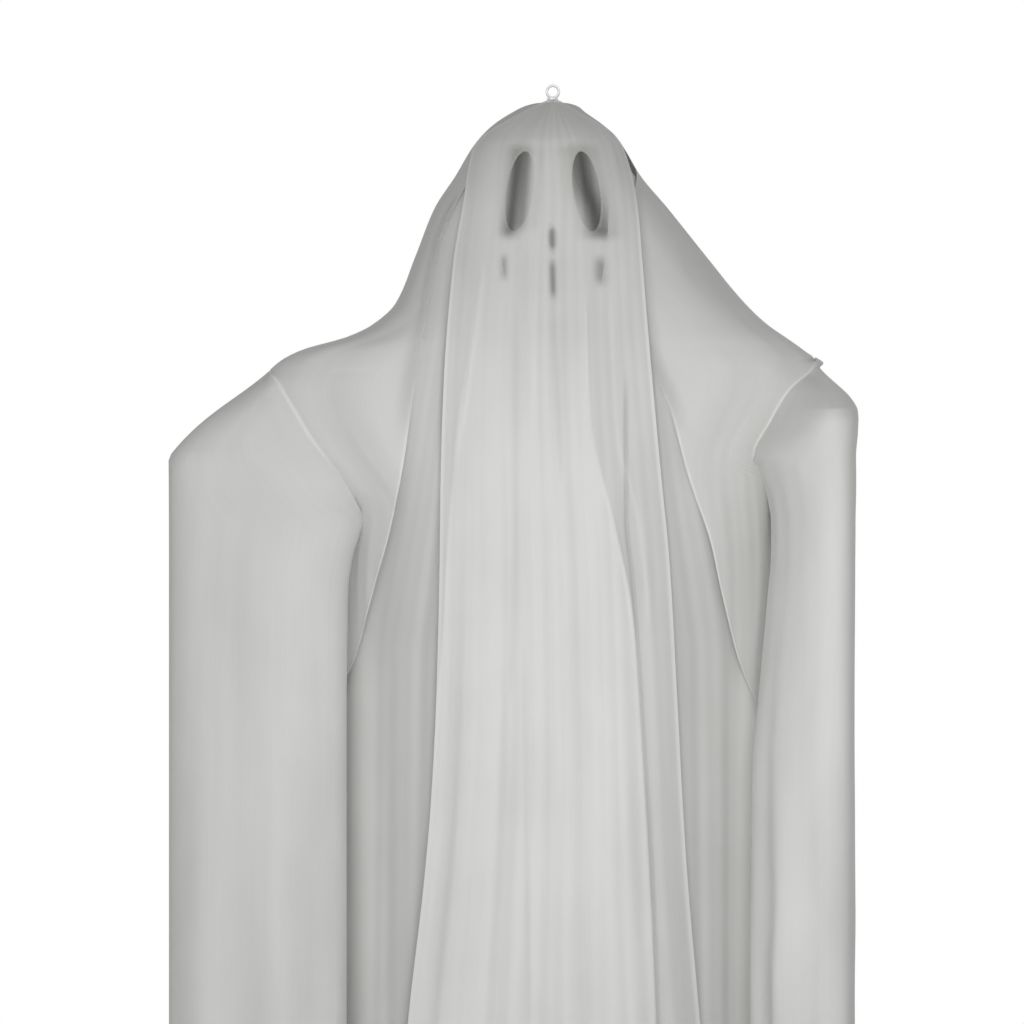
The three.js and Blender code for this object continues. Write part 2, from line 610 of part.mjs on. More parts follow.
function makeElbow(name, { side }) {
  const socketStart = clevisStart() - PIVOT_X;
  const web = socketStart + CLEVIS_LENGTH;
  const socket = alongX(CLEVIS_RADIUS, CLEVIS_LENGTH).translate(socketStart + CLEVIS_LENGTH / 2, 0, 0);
  const fork = join(
    box(web - 3, 0, -FORK_RADIUS, FORK_RADIUS, -FORK_TOP, FORK_TOP),
    alongZ(FORK_RADIUS, 2 * FORK_TOP),
  );
  const mouth = box(web + 0.5, FORK_RADIUS + 1, -FORK_RADIUS - 1, FORK_RADIUS + 1, -FORK_GAP, FORK_GAP);
  const pinX = clevisPinX() - PIVOT_X;
  const clevis = cut(
    join(socket, fork),
    mouth,
    alongX(BAR_RADIUS + GAP, 2 * (BAR_HALF_LENGTH + GAP - clevisStart())).translate(socketStart, 0, 0),
    alongZ(BOLT_RADIUS + 2 * GAP, THROUGH, 12),
    alongZ(PIN_RADIUS + GAP, THROUGH, 10).translate(pinX, 0, 0),
  );
  const shankLength = 2 * FORK_TOP + WING_NUT_HEIGHT + 4;
  const headZ = FORK_TOP + GAP + BOLT_HEAD_HEIGHT / 2;
  const bolt = join(
    alongZ(BOLT_HEAD_RADIUS, BOLT_HEAD_HEIGHT, 6).translate(0, 0, headZ),
    alongZ(BOLT_RADIUS, shankLength, 10).translate(0, 0, headZ - shankLength / 2),
  );
  const wing = new THREE.Shape();
  wing.moveTo(0, 0);
  wing.lineTo(WING_SPAN / 2 - 3, -2);
  wing.quadraticCurveTo(WING_SPAN / 2 + 1, -WING_NUT_HEIGHT, WING_SPAN / 2 - 3, -WING_NUT_HEIGHT - 3);
  wing.lineTo(BOLT_RADIUS, -WING_NUT_HEIGHT);
  wing.lineTo(0, -WING_NUT_HEIGHT);
  const wings = [0, Math.PI].map((turn) =>
    plate(wing, -WING_THICKNESS / 2, WING_THICKNESS / 2, 4).rotateZ(turn));
  const wingNut = cut(
    join(alongZ(BOLT_RADIUS + 2.5, WING_NUT_HEIGHT, 12).translate(0, 0, -WING_NUT_HEIGHT / 2), ...wings),
    alongZ(BOLT_RADIUS + 2 * GAP, THROUGH, 12),
  );
  const washer = () => ring(FORK_WASHER_RADIUS, BOLT_RADIUS + GAP, FORK_WASHER_THICKNESS);
  const washerZ = KNUCKLE_THICKNESS / 2 + 0.25 + FORK_WASHER_THICKNESS / 2;
  const group = new THREE.Group();
  group.position.set(side * PIVOT_X, 0, BAR_END_Z);
  group.rotation.z = side > 0 ? 0 : Math.PI;
  group.add(
    part(`${name}_clevis`, clevis, MATERIALS.black),
    part(`${name}_clevis_pin`, alongZ(PIN_RADIUS, 2 * CLEVIS_RADIUS - 1, 10), MATERIALS.steel, pinX, 0, 0),
    part(`${name}_pivot_bolt`, bolt, MATERIALS.steel),
    part(`${name}_wing_nut`, wingNut, MATERIALS.steel, 0, 0, -FORK_TOP - GAP),
    part(`${name}_upper_washer`, washer(), MATERIALS.steel, 0, 0, washerZ),
    part(`${name}_lower_washer`, washer(), MATERIALS.steel, 0, 0, -washerZ),
  );
  return group;
}

// Forearm: knuckle in the fork, a rod that droops from its socket, and a round end
function makeForearm(name, { side, swing, droop }) {
  const slope = droop * RAD;
  const onRod = (geometry, along) => geometry
    .rotateY(slope)
    .translate(LUG_REACH + along * Math.cos(slope), 0, -along * Math.sin(slope));
  const lug = SOCKET_RADIUS - 0.5;
  const knuckle = cut(
    join(
      alongZ(FORK_RADIUS, KNUCKLE_THICKNESS),
      box(0, LUG_REACH, -lug, lug, -KNUCKLE_THICKNESS / 2, KNUCKLE_THICKNESS / 2),
      new THREE.SphereGeometry(SOCKET_RADIUS, 12, 8).translate(LUG_REACH, 0, 0),
      onRod(alongX(SOCKET_RADIUS, SOCKET_LENGTH, 12), SOCKET_LENGTH / 2),
    ),
    alongZ(BOLT_RADIUS + 2 * GAP, THROUGH, 12),
    onRod(alongX(ROD_RADIUS + GAP, SOCKET_LENGTH, 12), ROD_START + SOCKET_LENGTH / 2),
  );
  const rodStart = ROD_START + GAP;
  const rod = onRod(alongX(ROD_RADIUS, ROD_LENGTH - rodStart, 12), (ROD_LENGTH + rodStart) / 2);
  const ballBore = alongX(ROD_RADIUS + GAP, 2 * BALL_RADIUS, 12).translate(GAP - BALL_RADIUS, 0, 0);
  const ball = onRod(cut(new THREE.SphereGeometry(BALL_RADIUS, 12, 8), ballBore), ROD_LENGTH);
  const group = new THREE.Group();
  group.position.set(side * PIVOT_X, 0, BAR_END_Z);
  group.rotation.z = side > 0 ? -swing * RAD : Math.PI + swing * RAD;
  group.add(
    part(`${name}_knuckle`, knuckle, MATERIALS.black),
    part(`${name}_forearm_rod`, rod, MATERIALS.tube),
    part(`${name}_forearm_ball`, ball, MATERIALS.black),
  );
  return group;
}

// Cloth. A sheet is a grid of points whose rows run down and whose columns run clockwise seen from
// above, so that its normals point outward. The second skin lies one thickness inside the first.
function clothSolid(grid, around) {
  const [rows, columns] = [grid.length, grid[0].length];
  const wrap = (j) => (around ? (j + columns) % columns : THREE.MathUtils.clamp(j, 0, columns - 1));
  const row = (i) => THREE.MathUtils.clamp(i, 0, rows - 1);
  const inside = grid.map((points, i) => points.map((point, j) => {
    const across = grid[i][wrap(j + 1)].clone().sub(grid[i][wrap(j - 1)]);
    const down = grid[row(i + 1)][j].clone().sub(grid[row(i - 1)][j]);
    return point.clone().addScaledVector(across.cross(down).normalize(), -CLOTH);
  }));
  const points = [...grid.flat(), ...inside.flat()];
  const outer = (i, j) => i * columns + wrap(j);
  const inner = (i, j) => rows * columns + outer(i, j);
  const triangles = [];
  const edge = (p, q, p2, q2) => triangles.push(p, q, q2, p, q2, p2);
  const lastColumn = around ? columns : columns - 1;
  for (let j = 0; j < lastColumn; j += 1) {
    for (let i = 0; i < rows - 1; i += 1) {
      triangles.push(outer(i, j), outer(i, j + 1), outer(i + 1, j + 1));
      triangles.push(outer(i, j), outer(i + 1, j + 1), outer(i + 1, j));
      triangles.push(inner(i, j), inner(i + 1, j + 1), inner(i, j + 1));
      triangles.push(inner(i, j), inner(i + 1, j), inner(i + 1, j + 1));
    }
    edge(outer(0, j + 1), outer(0, j), inner(0, j + 1), inner(0, j));
    edge(outer(rows - 1, j), outer(rows - 1, j + 1), inner(rows - 1, j), inner(rows - 1, j + 1));
  }
  for (let i = 0; i < rows - 1 && !around; i += 1) {
    edge(outer(i, 0), outer(i + 1, 0), inner(i, 0), inner(i + 1, 0));
    edge(outer(i + 1, columns - 1), outer(i, columns - 1), inner(i + 1, columns - 1), inner(i, columns - 1));
  }
  const geometry = new THREE.BufferGeometry().setFromPoints(points);
  geometry.setIndex(triangles);
  geometry.computeVertexNormals();
  return geometry;
}

// The cape's surface: an upright ellipse at each depth. The angle is 0 in front and grows to the left.
function capePoint(angle, depth) {
  const width = curve(CAPE_ROWS, Math.sin(angle) > 0 ? 1 : 2, depth);
  return new THREE.Vector3(
    -width * Math.sin(angle),
    -curve(CAPE_ROWS, 3, depth) * Math.cos(angle),
    CAPE_TOP - depth,
  );
}

function offCape(angle, depth, distance) {
  const down = depth < 1 ? 0.2 : 1;
  const across = capePoint(angle + 0.01, depth).sub(capePoint(angle - 0.01, depth));
  const fall = capePoint(angle, depth + down).sub(capePoint(angle, Math.max(depth - down, 0)));
  return capePoint(angle, depth).addScaledVector(across.cross(fall).normalize(), distance);
}

function edgeAngle(rows, column, depth) {
  const width = curve(CAPE_ROWS, column, depth);
  return Math.asin(Math.min(curve(rows, column, depth) / width, 0.985));
}

function spread(from, to, count) {
  return Array.from({ length: count }, (_, i) => from + ((to - from) * i) / (count - 1));
}

// The armhole's outer side, as a wall of solid from the line outward
function armholeSide(side, offset) {
  const shape = new THREE.Shape();
  shape.moveTo(side * FAR, ARMHOLE[0][1]);
  ARMHOLE.forEach(([x, z]) => shape.lineTo(side * (x + offset), z));
  shape.lineTo(side * FAR, ARMHOLE[ARMHOLE.length - 1][1]);
  return plate(shape, -FAR, FAR);
}

// All sheets that lie on the cape's surface have their rows at the same depths, so their facets agree.
const DEPTHS = [0, 1.5, 5, 11.5, 25, 39, 58, 88, 122, 177, 232, 262, 287, 330, 400, 481, 560, 690, 1050];
const foldDepth = (folds, depth) => folds.depth * ramp(depth, folds.start, folds.full);
const depthsFrom = (top, hem) => [...DEPTHS.filter((depth) => depth >= top && depth < hem), hem];

function makeCape() {
  const grid = depthsFrom(0, CAPE_HEM).map((depth) => {
    const left = edgeAngle(CAPE_EDGES, 1, depth);
    const right = edgeAngle(CAPE_EDGES, 2, depth);
    const amount = foldDepth(CAPE_FOLDS, depth);
    return spread(left, 2 * Math.PI - right, 25).map((angle) => {
      const fold = amount * Math.sin(CAPE_FOLDS.count * angle) * Math.abs(Math.cos(angle));
      return offCape(angle, depth, fold);
    });
  });
  return cut(clothSolid(grid, false), armholeSide(-1, -SEAM_GAP), armholeSide(1, -SEAM_GAP));
}

function makeFaceVeil() {
  const lift = CLOTH + CLOTH_GAP;
  const grid = depthsFrom(0, VEIL_HEM).filter((depth) => depth !== 262 && depth !== 400).map((depth) => {
    const left = edgeAngle(VEIL_EDGES, 1, depth);
    const right = edgeAngle(VEIL_EDGES, 2, depth);
    const amount = foldDepth(VEIL_PLEATS, depth);
    return spread(-right, left, 21).map((angle) => {
      const share = (angle + right) / (left + right);
      const pleat = (amount / 2) * (1 + Math.sin(2 * Math.PI * VEIL_PLEATS.count * share));
      return offCape(angle, depth, lift + VEIL_LIFT * ramp(depth, 0, VEIL_PLEATS.start) + pleat);
    });
  });
  return clothSolid(grid, false);
}

function makeSideFall(side) {
  const column = side < 0 ? 1 : 2;
  const grid = depthsFrom(FALL_TOP, FALL_HEM).map((depth) => {
    const width = curve(CAPE_ROWS, column, depth);
    const [inner, outer] = [1, 2].map((k) => Math.asin(Math.min(curve(FALL_EDGES, k, depth) / width, 0.97)));
    const angles = side < 0 ? spread(inner, outer, 7) : spread(-outer, -inner, 7);
    const inset = CLOTH + 2 * CLOTH_GAP + FALL_INSET * ramp(depth, FALL_TOP, 2 * FALL_TOP);
    return angles.map((angle, j) => {
      const fold = foldDepth(FALL_FOLDS, depth) * (j % 2);
      return offCape(angle, depth, -inset - fold);
    });
  });
  return clothSolid(grid, false);
}

// Gown: closed loops that start at the neck, run out along the bar's top and then fall to the hem
function makeGown() {
  const onBar = BAR_RADIUS + 2 * CLOTH_GAP + CLOTH;
  const shoulder = GOWN_RIDGE_X.map((x, i) => [barZ(x) + onBar, x, GOWN_RIDGE_DEPTH[i]]);
  const fall = GOWN_ROWS.map(([drop, width, depth]) => [BAR_END_Z - drop, width, depth]);
  const hem = [HEM_Z, GOWN_HEM.halfWidth, GOWN_HEM.halfDepth];
  const grid = [...shoulder, ...fall, hem].map(([z, width, depth]) => {
    const amount = foldDepth(GOWN_FOLDS, CAPE_TOP - z);
    return spread(0, 2 * Math.PI, 29).slice(0, -1).map((angle) => {
      const fold = 1 + (amount / depth) * Math.sin(GOWN_FOLDS.count * angle + 1) * Math.abs(Math.cos(angle));
      return new THREE.Vector3(-width * Math.sin(angle), -depth * Math.cos(angle) * fold, z);
    });
  });
  const armhole = (side) => {
    const far = side * FAR;
    const near = side * GOWN_ARMHOLE_X;
    return box(Math.min(near, far), Math.max(near, far), -FAR, FAR, GOWN_ARMHOLE_Z, 0);
  };
  return cut(clothSolid(grid, true), armhole(-1), armhole(1));
}

// Sleeve: closed loops from the ridge over the forearm down to the cuff. The ridge is worked out from
// the elbow's bolt, the socket and the round end, so that the cloth lies on them.
function makeSleeve(name, { side, swing, droop }) {
  const slope = droop * RAD;
  const over = CLOTH + 3 * CLOTH_GAP;
  const at = (along, above) => [
    BAR_END_Z - along * Math.sin(slope) + above * Math.cos(slope),
    LUG_REACH + along * Math.cos(slope) + above * Math.sin(slope),
  ];
  const ridge = [
    [ARMHOLE[0][1] - SLEEVE_HEAD, -CLEVIS_LENGTH],
    [BOLT_TOP + over, BOLT_HEAD_RADIUS + 1],
    [BAR_END_Z + SOCKET_RADIUS + over, LUG_REACH + 1],
    at(SOCKET_LENGTH, SOCKET_RADIUS + over),
    at(ROD_LENGTH, BALL_RADIUS + over + 2 * CLOTH_GAP),
    [BAR_END_Z - ROD_LENGTH * Math.sin(slope), at(ROD_LENGTH, 0)[1] + BALL_RADIUS + over + 2 * CLOTH_GAP],
  ];
  const reach = (z) => {
    const i = Math.max(ridge.findIndex((point) => point[0] < z), 1);
    if (z <= ridge[ridge.length - 1][0]) return ridge[ridge.length - 1][1];
    const t = (z - ridge[i - 1][0]) / (ridge[i][0] - ridge[i - 1][0]);
    return ridge[i - 1][1] + t * (ridge[i][1] - ridge[i - 1][1]);
  };
  const top = ridge.map(([z]) => z);
  const below = [-465, -500, -560, -720, -1050, SLEEVE_HEM_Z];
  const rows = SLEEVE_ROWS[name];
  const grid = [...top, (top[3] + top[4]) / 2, ...below].sort((a, b) => b - a).map((z) => {
    const turned = swing * ramp(reach(z), 0, 40) * RAD;
    const out = new THREE.Vector2(
      side * (PIVOT_X + reach(z) * Math.cos(turned)),
      -reach(z) * Math.sin(turned),
    );
    const inner = new THREE.Vector2(side * curve(rows, 1, z), curve(rows, 2, z));
    const middle = out.clone().add(inner).divideScalar(2);
    const along = out.clone().sub(inner).divideScalar(2);
    const length = along.length();
    const thick = curve(rows, 3, z);
    const amount = foldDepth(SLEEVE_FOLDS, CAPE_TOP - z);
    return spread(0, 2 * Math.PI, 25).slice(0, -1).map((turn) => {
      const fold = amount * Math.sin(SLEEVE_FOLDS.count * turn) * Math.abs(Math.sin(turn));
      const [s, t] = [Math.cos(turn) * length, -Math.sin(turn) * (thick + fold)];
      return new THREE.Vector3(
        middle.x + (along.x * s - along.y * t) / length,
        middle.y + (along.y * s + along.x * t) / length,
        z,
      );
    });
  });
  const armholeBottom = ARMHOLE[ARMHOLE.length - 1][1];
  const inboard = cut(box(-FAR, FAR, -FAR, FAR, armholeBottom, 0), armholeSide(side, SEAM_GAP));
  return cut(clothSolid(grid, true), inboard);
}

function makeFigure() {
  const group = new THREE.Group();
  const [cap, pin, pinHole] = makeCrownCap();
  group.add(cap, pin, ...makeHead(), ...makeSpineAndHub(pinHole));
  Object.entries(ARMS).forEach(([name, arm]) => group.add(makeElbow(name, arm)));
  group.add(
    part('gown', makeGown(), MATERIALS.gown),
    part('cape', makeCape(), MATERIALS.gauze),
    part('left_side_fall', makeSideFall(-1), MATERIALS.gauze),
    part('right_side_fall', makeSideFall(1), MATERIALS.gauze),
    part('face_veil', makeFaceVeil(), MATERIALS.gauze),
  );
  return group;
}

const ghost = new THREE.Group();
ghost.add(makeHanger(), makeFigure());
Object.entries(ARMS).forEach(([name, arm]) => ghost.add(
  makeForearm(name, arm),
  part(`${name}_sleeve`, makeSleeve(name, arm), MATERIALS.gauze),
));

export default ghost;
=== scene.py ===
import bpy
import bmesh
import json
import numpy as np
from math import cos, pi, radians, sin
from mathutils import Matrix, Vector


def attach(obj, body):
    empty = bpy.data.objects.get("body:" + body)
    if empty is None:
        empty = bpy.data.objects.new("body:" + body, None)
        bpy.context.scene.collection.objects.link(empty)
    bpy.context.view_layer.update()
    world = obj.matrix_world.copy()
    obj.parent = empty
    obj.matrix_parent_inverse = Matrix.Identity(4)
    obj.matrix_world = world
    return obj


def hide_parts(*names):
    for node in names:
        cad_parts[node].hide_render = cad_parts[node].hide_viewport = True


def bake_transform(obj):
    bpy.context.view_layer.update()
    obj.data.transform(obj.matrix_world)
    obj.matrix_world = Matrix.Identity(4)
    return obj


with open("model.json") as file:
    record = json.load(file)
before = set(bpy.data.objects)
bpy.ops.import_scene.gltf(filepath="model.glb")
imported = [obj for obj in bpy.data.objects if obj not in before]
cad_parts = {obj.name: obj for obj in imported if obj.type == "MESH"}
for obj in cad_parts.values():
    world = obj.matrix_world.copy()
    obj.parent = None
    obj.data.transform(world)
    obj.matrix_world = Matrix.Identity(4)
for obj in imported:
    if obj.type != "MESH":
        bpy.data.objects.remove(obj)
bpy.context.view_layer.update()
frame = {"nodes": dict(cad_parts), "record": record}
scene = bpy.context.scene
scene.view_settings.view_transform = "Standard"
print("frame loaded with", len(frame["nodes"]), "nodes")

# Shapes are worked out in millimetres, x to the right, y away from the camera, z up, and made metres
# when a mesh is filled. Depth is measured down from capeTop, where the cape lies on the crown.
mm = 0.001
capeTop = -17.5


# Node trees
def node(tree, kind, inputs=None, **settings):  # a node with its settings, its values and its links
    made = tree.nodes.new(kind)
    for key, value in settings.items():
        setattr(made, key, value)
    for key, value in (inputs or {}).items():
        if isinstance(value, bpy.types.NodeSocket):
            tree.links.new(value, made.inputs[key])
        else:
            made.inputs[key].default_value = value
    return made


def calc(tree, operation, a, b=0.0, c=0.0, clamp=False):  # one step of arithmetic
    return node(tree, "ShaderNodeMath", {0: a, 1: b, 2: c}, operation=operation, use_clamp=clamp).outputs[0]


def mixColor(tree, share, a, b):
    made = node(tree, "ShaderNodeMix", {0: share, 6: a, 7: b}, data_type="RGBA")
    return made.outputs[2]


def newMaterial(name):
    material = bpy.data.materials.new(name)
    material.use_nodes = True
    tree = material.node_tree
    tree.nodes.clear()
    output = node(tree, "ShaderNodeOutputMaterial")
    shader = node(tree, "ShaderNodeBsdfPrincipled")
    tree.links.new(shader.outputs[0], output.inputs[0])
    return material, tree, shader


# Camera, light and floor
studio = {
    "aimX": -0.047, "aimZ": -0.489,       # middle of the picture
    "distance": 8.0, "viewWidth": 1.178,  # how wide the picture is at the ghost
    "worldLight": 0.42, "lightAim": (0, 0, -0.62),
    "lights": [  # name, place, power, size
        ("frontLight", (0.08, -1.25, -0.6), 7.8, 0.9),
        ("keyLight", (-1.8, -3.4, 0.9), 12.0, 2.2),
        ("backLight", (1.6, 3.6, 0.8), 35.0, 2.2),
    ],
    "floorZ": -1.95, "floorReach": 9.0, "floorGlow": 0.3,
}


def makeStudio(s):
    lens = bpy.data.cameras.new("camera")
    lens.sensor_width = 36
    lens.lens = 36 * s["distance"] / s["viewWidth"]
    camera = bpy.data.objects.new("camera", lens)
    camera.location = (s["aimX"], -s["distance"], s["aimZ"])
    camera.rotation_euler = (radians(90), 0, 0)
    scene.collection.objects.link(camera)
    scene.camera = camera
    for name, place, power, size in s["lights"]:
        lamp = bpy.data.lights.new(name, "AREA")
        lamp.energy, lamp.size = power, size
        lampObject = bpy.data.objects.new(name, lamp)
        lampObject.location = place
        aim = Vector(s["lightAim"]) - Vector(place)
        lampObject.rotation_euler = aim.to_track_quat("-Z", "Y").to_euler()
        lampObject.visible_camera = False
        scene.collection.objects.link(lampObject)
    world = bpy.data.worlds.new("studio")
    world.use_nodes = True
    scene.world = world
    tree = world.node_tree
    tree.nodes.clear()
    path = node(tree, "ShaderNodeLightPath")
    seen = calc(tree, "MAXIMUM", calc(tree, "MAXIMUM", path.outputs["Is Camera Ray"],
                path.outputs["Is Glossy Ray"]), path.outputs["Is Transmission Ray"])
    strength = calc(tree, "MULTIPLY_ADD", seen, 1 - s["worldLight"], s["worldLight"])
    sky = node(tree, "ShaderNodeBackground", {"Color": (1, 1, 1, 1), "Strength": strength})
    output = node(tree, "ShaderNodeOutputWorld")
    tree.links.new(sky.outputs[0], output.inputs[0])
    material, tree, shader = newMaterial("paleFloor")
    path = node(tree, "ShaderNodeLightPath")
    shader.inputs["Base Color"].default_value = (0.86, 0.86, 0.86, 1)
    shader.inputs["Roughness"].default_value = 0.9
    shader.inputs["Emission Color"].default_value = (1, 1, 1, 1)
    glow = calc(tree, "MULTIPLY", path.outputs["Is Camera Ray"], s["floorGlow"])
    tree.links.new(glow, shader.inputs["Emission Strength"])
    r, z = s["floorReach"], s["floorZ"]
    mesh = bpy.data.meshes.new("floor")
    mesh.from_pydata([(-r, -r, z), (r, -r, z), (r, r, z), (-r, r, z)], [], [(0, 1, 2, 3)])
    mesh.materials.append(material)
    floor = bpy.data.objects.new("floor", mesh)
    scene.collection.objects.link(floor)


makeStudio(studio)
print("studio made")


# Curves and surfaces
def curve(rows, x, column=1):  # cubic through rows [x, value...] whose slopes never overshoot the rows
    table = np.array(sorted(rows, key=lambda row: row[0]), float)
    xs, ys = table[:, 0], table[:, column]
    chord = np.diff(ys) / np.diff(xs)
    turn = chord[:-1] * chord[1:]
    total = np.where(turn > 0, chord[:-1] + chord[1:], 1)
    slope = np.concatenate([chord[:1], np.where(turn > 0, 2 * turn / total, 0), chord[-1:]])
    x = np.clip(x, xs[0], xs[-1])
    i = np.clip(np.searchsorted(xs, x) - 1, 0, len(xs) - 2)
    width = xs[i + 1] - xs[i]
    t = (x - xs[i]) / width
    return ((1 + 2 * t) * (1 - t) ** 2 * ys[i] + t * (1 - t) ** 2 * width * slope[i]
            + t * t * (3 - 2 * t) * ys[i + 1] + t * t * (t - 1) * width * slope[i + 1])


def ramp(x, low, high):  # 0 before low, 1 after high, smooth between
    t = np.clip((x - low) / (high - low), 0, 1)
    return t * t * (3 - 2 * t)


def bump(x, middle, half):  # a bell curve
    return np.exp(-((x - middle) / half) ** 2)


def ripples(across, down, seed, wide, long, count=8):  # sum of sines about wide by long, mostly in -1 to 1
    rng = np.random.default_rng(seed)
    total = 0
    for k, slant, phase in zip(rng.uniform(0.5, 1.6, count), rng.uniform(-1, 1, count),
                               rng.uniform(0, 2 * pi, count)):
        total = total + np.sin(2 * pi * (k * across / wide + slant * down / long) + phase)
    return total / np.sqrt(count)


def wave(turn, down, seed, few, many, long, count=7):  # ripples round a loop, whole numbers of them a turn
    rng = np.random.default_rng(seed)
    total = 0
    for k, slant, phase in zip(rng.integers(few, many + 1, count), rng.uniform(-1, 1, count),
                               rng.uniform(0, 2 * pi, count)):
        total = total + np.sin(k * turn + 2 * pi * slant * down / long + phase)
    return total / np.sqrt(count)


def unit(vectors):
    return vectors / np.maximum(np.linalg.norm(vectors, axis=-1, keepdims=True), 1e-9)


def fillMesh(name, points, faces, uv=None, attributes=None):
    # points in millimetres, faces with the same number of corners, uv and attributes one value a point
    mesh = bpy.data.meshes.new(name)
    faces = np.asarray(faces, np.int32)
    sides = faces.shape[1]
    mesh.vertices.add(len(points))
    mesh.vertices.foreach_set("co", (points * mm).astype(np.float32).ravel())
    mesh.loops.add(faces.size)
    mesh.loops.foreach_set("vertex_index", faces.ravel())
    mesh.polygons.add(len(faces))
    mesh.polygons.foreach_set("loop_start", np.arange(0, faces.size, sides, dtype=np.int32))
    if uv is not None:
        layer = mesh.uv_layers.new(name="clothUv")
        layer.data.foreach_set("uv", uv[faces.ravel()].astype(np.float32).ravel())
    for key, values in (attributes or {}).items():
        attribute = mesh.attributes.new(key, "FLOAT", "POINT")
        attribute.data.foreach_set("value", values.astype(np.float32).ravel())
    mesh.update(calc_edges=True)
    mesh.validate()
    return mesh


def addPiece(name, mesh, material, body, smooth=True):
    mesh.materials.append(material)
    piece = bpy.data.objects.new(name, mesh)
    scene.collection.objects.link(piece)
    if smooth:
        mesh.shade_smooth()
    if body:
        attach(piece, body)
    return piece


def gridFaces(rows, columns, breaks=()):
    # quads of a grid whose rows run down and whose columns run clockwise seen from above, faces outward
    corner = np.arange(rows * columns).reshape(rows, columns)
    quads = np.stack([corner[:-1, :-1], corner[:-1, 1:], corner[1:, 1:], corner[1:, :-1]], axis=-1)
    keep = np.ones(columns - 1, bool)
    keep[list(breaks)] = False
    return quads[:, keep].reshape(-1, 4)


def clothMesh(name, grid, uv, density, breaks=(), hem=None):
    # a sheet from a grid of points; quads with no area are dropped and points in one place are merged
    rows, columns = grid.shape[:2]
    faces = gridFaces(rows, columns, breaks)
    points = grid.reshape(-1, 3)
    p = points[faces]
    area = np.linalg.norm(np.cross(p[:, 2] - p[:, 0], p[:, 3] - p[:, 1]), axis=1)
    hem = np.zeros((rows, columns)) if hem is None else hem
    # the hem attribute marks hems, seams and selvedges, which the cloth materials paint lighter, partly as
    # a painted highlight
    values = {"threadCover": np.clip(density, 0, 1).ravel(), "hem": np.clip(hem, 0, 1).ravel()}
    mesh = fillMesh(name, points, faces[area > 1e-4], uv.reshape(-1, 2), values)
    work = bmesh.new()
    work.from_mesh(mesh)
    bmesh.ops.remove_doubles(work, verts=work.verts, dist=2e-5)
    bmesh.ops.dissolve_degenerate(work, dist=1e-6, edges=work.edges)
    bmesh.ops.delete(work, geom=[v for v in work.verts if not v.link_faces], context="VERTS")
    work.to_mesh(mesh)
    work.free()
    return mesh


# Cloth materials
threadPitch = {"warp": 0.0016, "weft": 0.0019}  # metres


def makeWeave():
    # group: threads and slubs of gauze from a map in metres; Cover is 0.5 on average, Height follows it
    tree = bpy.data.node_groups.new("gauzeWeave", "ShaderNodeTree")
    tree.interface.new_socket("Map", in_out="INPUT", socket_type="NodeSocketVector")
    for name in ("Threads", "Slubs", "Cloud"):
        tree.interface.new_socket(name, in_out="INPUT", socket_type="NodeSocketFloat")
    for name in ("Cover", "Height"):
        tree.interface.new_socket(name, in_out="OUTPUT", socket_type="NodeSocketFloat")
    given = node(tree, "NodeGroupInput")

    def streaks(scale, detail):  # noise stretched along the cloth, 0 on average
        stretched = node(tree, "ShaderNodeVectorMath", {0: given.outputs["Map"], 1: scale},
                         operation="MULTIPLY")
        noise = node(tree, "ShaderNodeTexNoise", {"Vector": stretched.outputs[0], "Scale": 1.0,
                                                  "Detail": detail, "Roughness": 0.55})
        return calc(tree, "SUBTRACT", noise.outputs[0], 0.5)

    part = node(tree, "ShaderNodeSeparateXYZ", {0: given.outputs["Map"]})
    warp = calc(tree, "SINE", calc(tree, "MULTIPLY", part.outputs[0], 2 * pi / threadPitch["warp"]))
    weft = calc(tree, "SINE", calc(tree, "MULTIPLY", part.outputs[1], 2 * pi / threadPitch["weft"]))
    threads = calc(tree, "MULTIPLY", calc(tree, "MAXIMUM", warp, weft), given.outputs["Threads"])
    broad = calc(tree, "MULTIPLY", streaks((110, 2.4, 1), 2), 0.8)
    slubs = calc(tree, "ADD", streaks((520, 7, 1), 3), broad)
    slubs = calc(tree, "MULTIPLY", slubs, given.outputs["Slubs"])
    cloud = calc(tree, "MULTIPLY", streaks((11, 6, 1), 2), given.outputs["Cloud"])
    total = calc(tree, "ADD", calc(tree, "ADD", threads, slubs), calc(tree, "ADD", cloud, 0.5), clamp=True)
    output = node(tree, "NodeGroupOutput")
    tree.links.new(total, output.inputs["Cover"])
    tree.links.new(calc(tree, "ADD", threads, slubs), output.inputs["Height"])
    return tree


weave = makeWeave()
hemHighlightColor, hemHighlightShare = (0.86, 0.86, 0.84, 1), 0.55  # doubled cloth at hems and seams, painted lighter; the lighter colour is partly a painted highlight along these edges
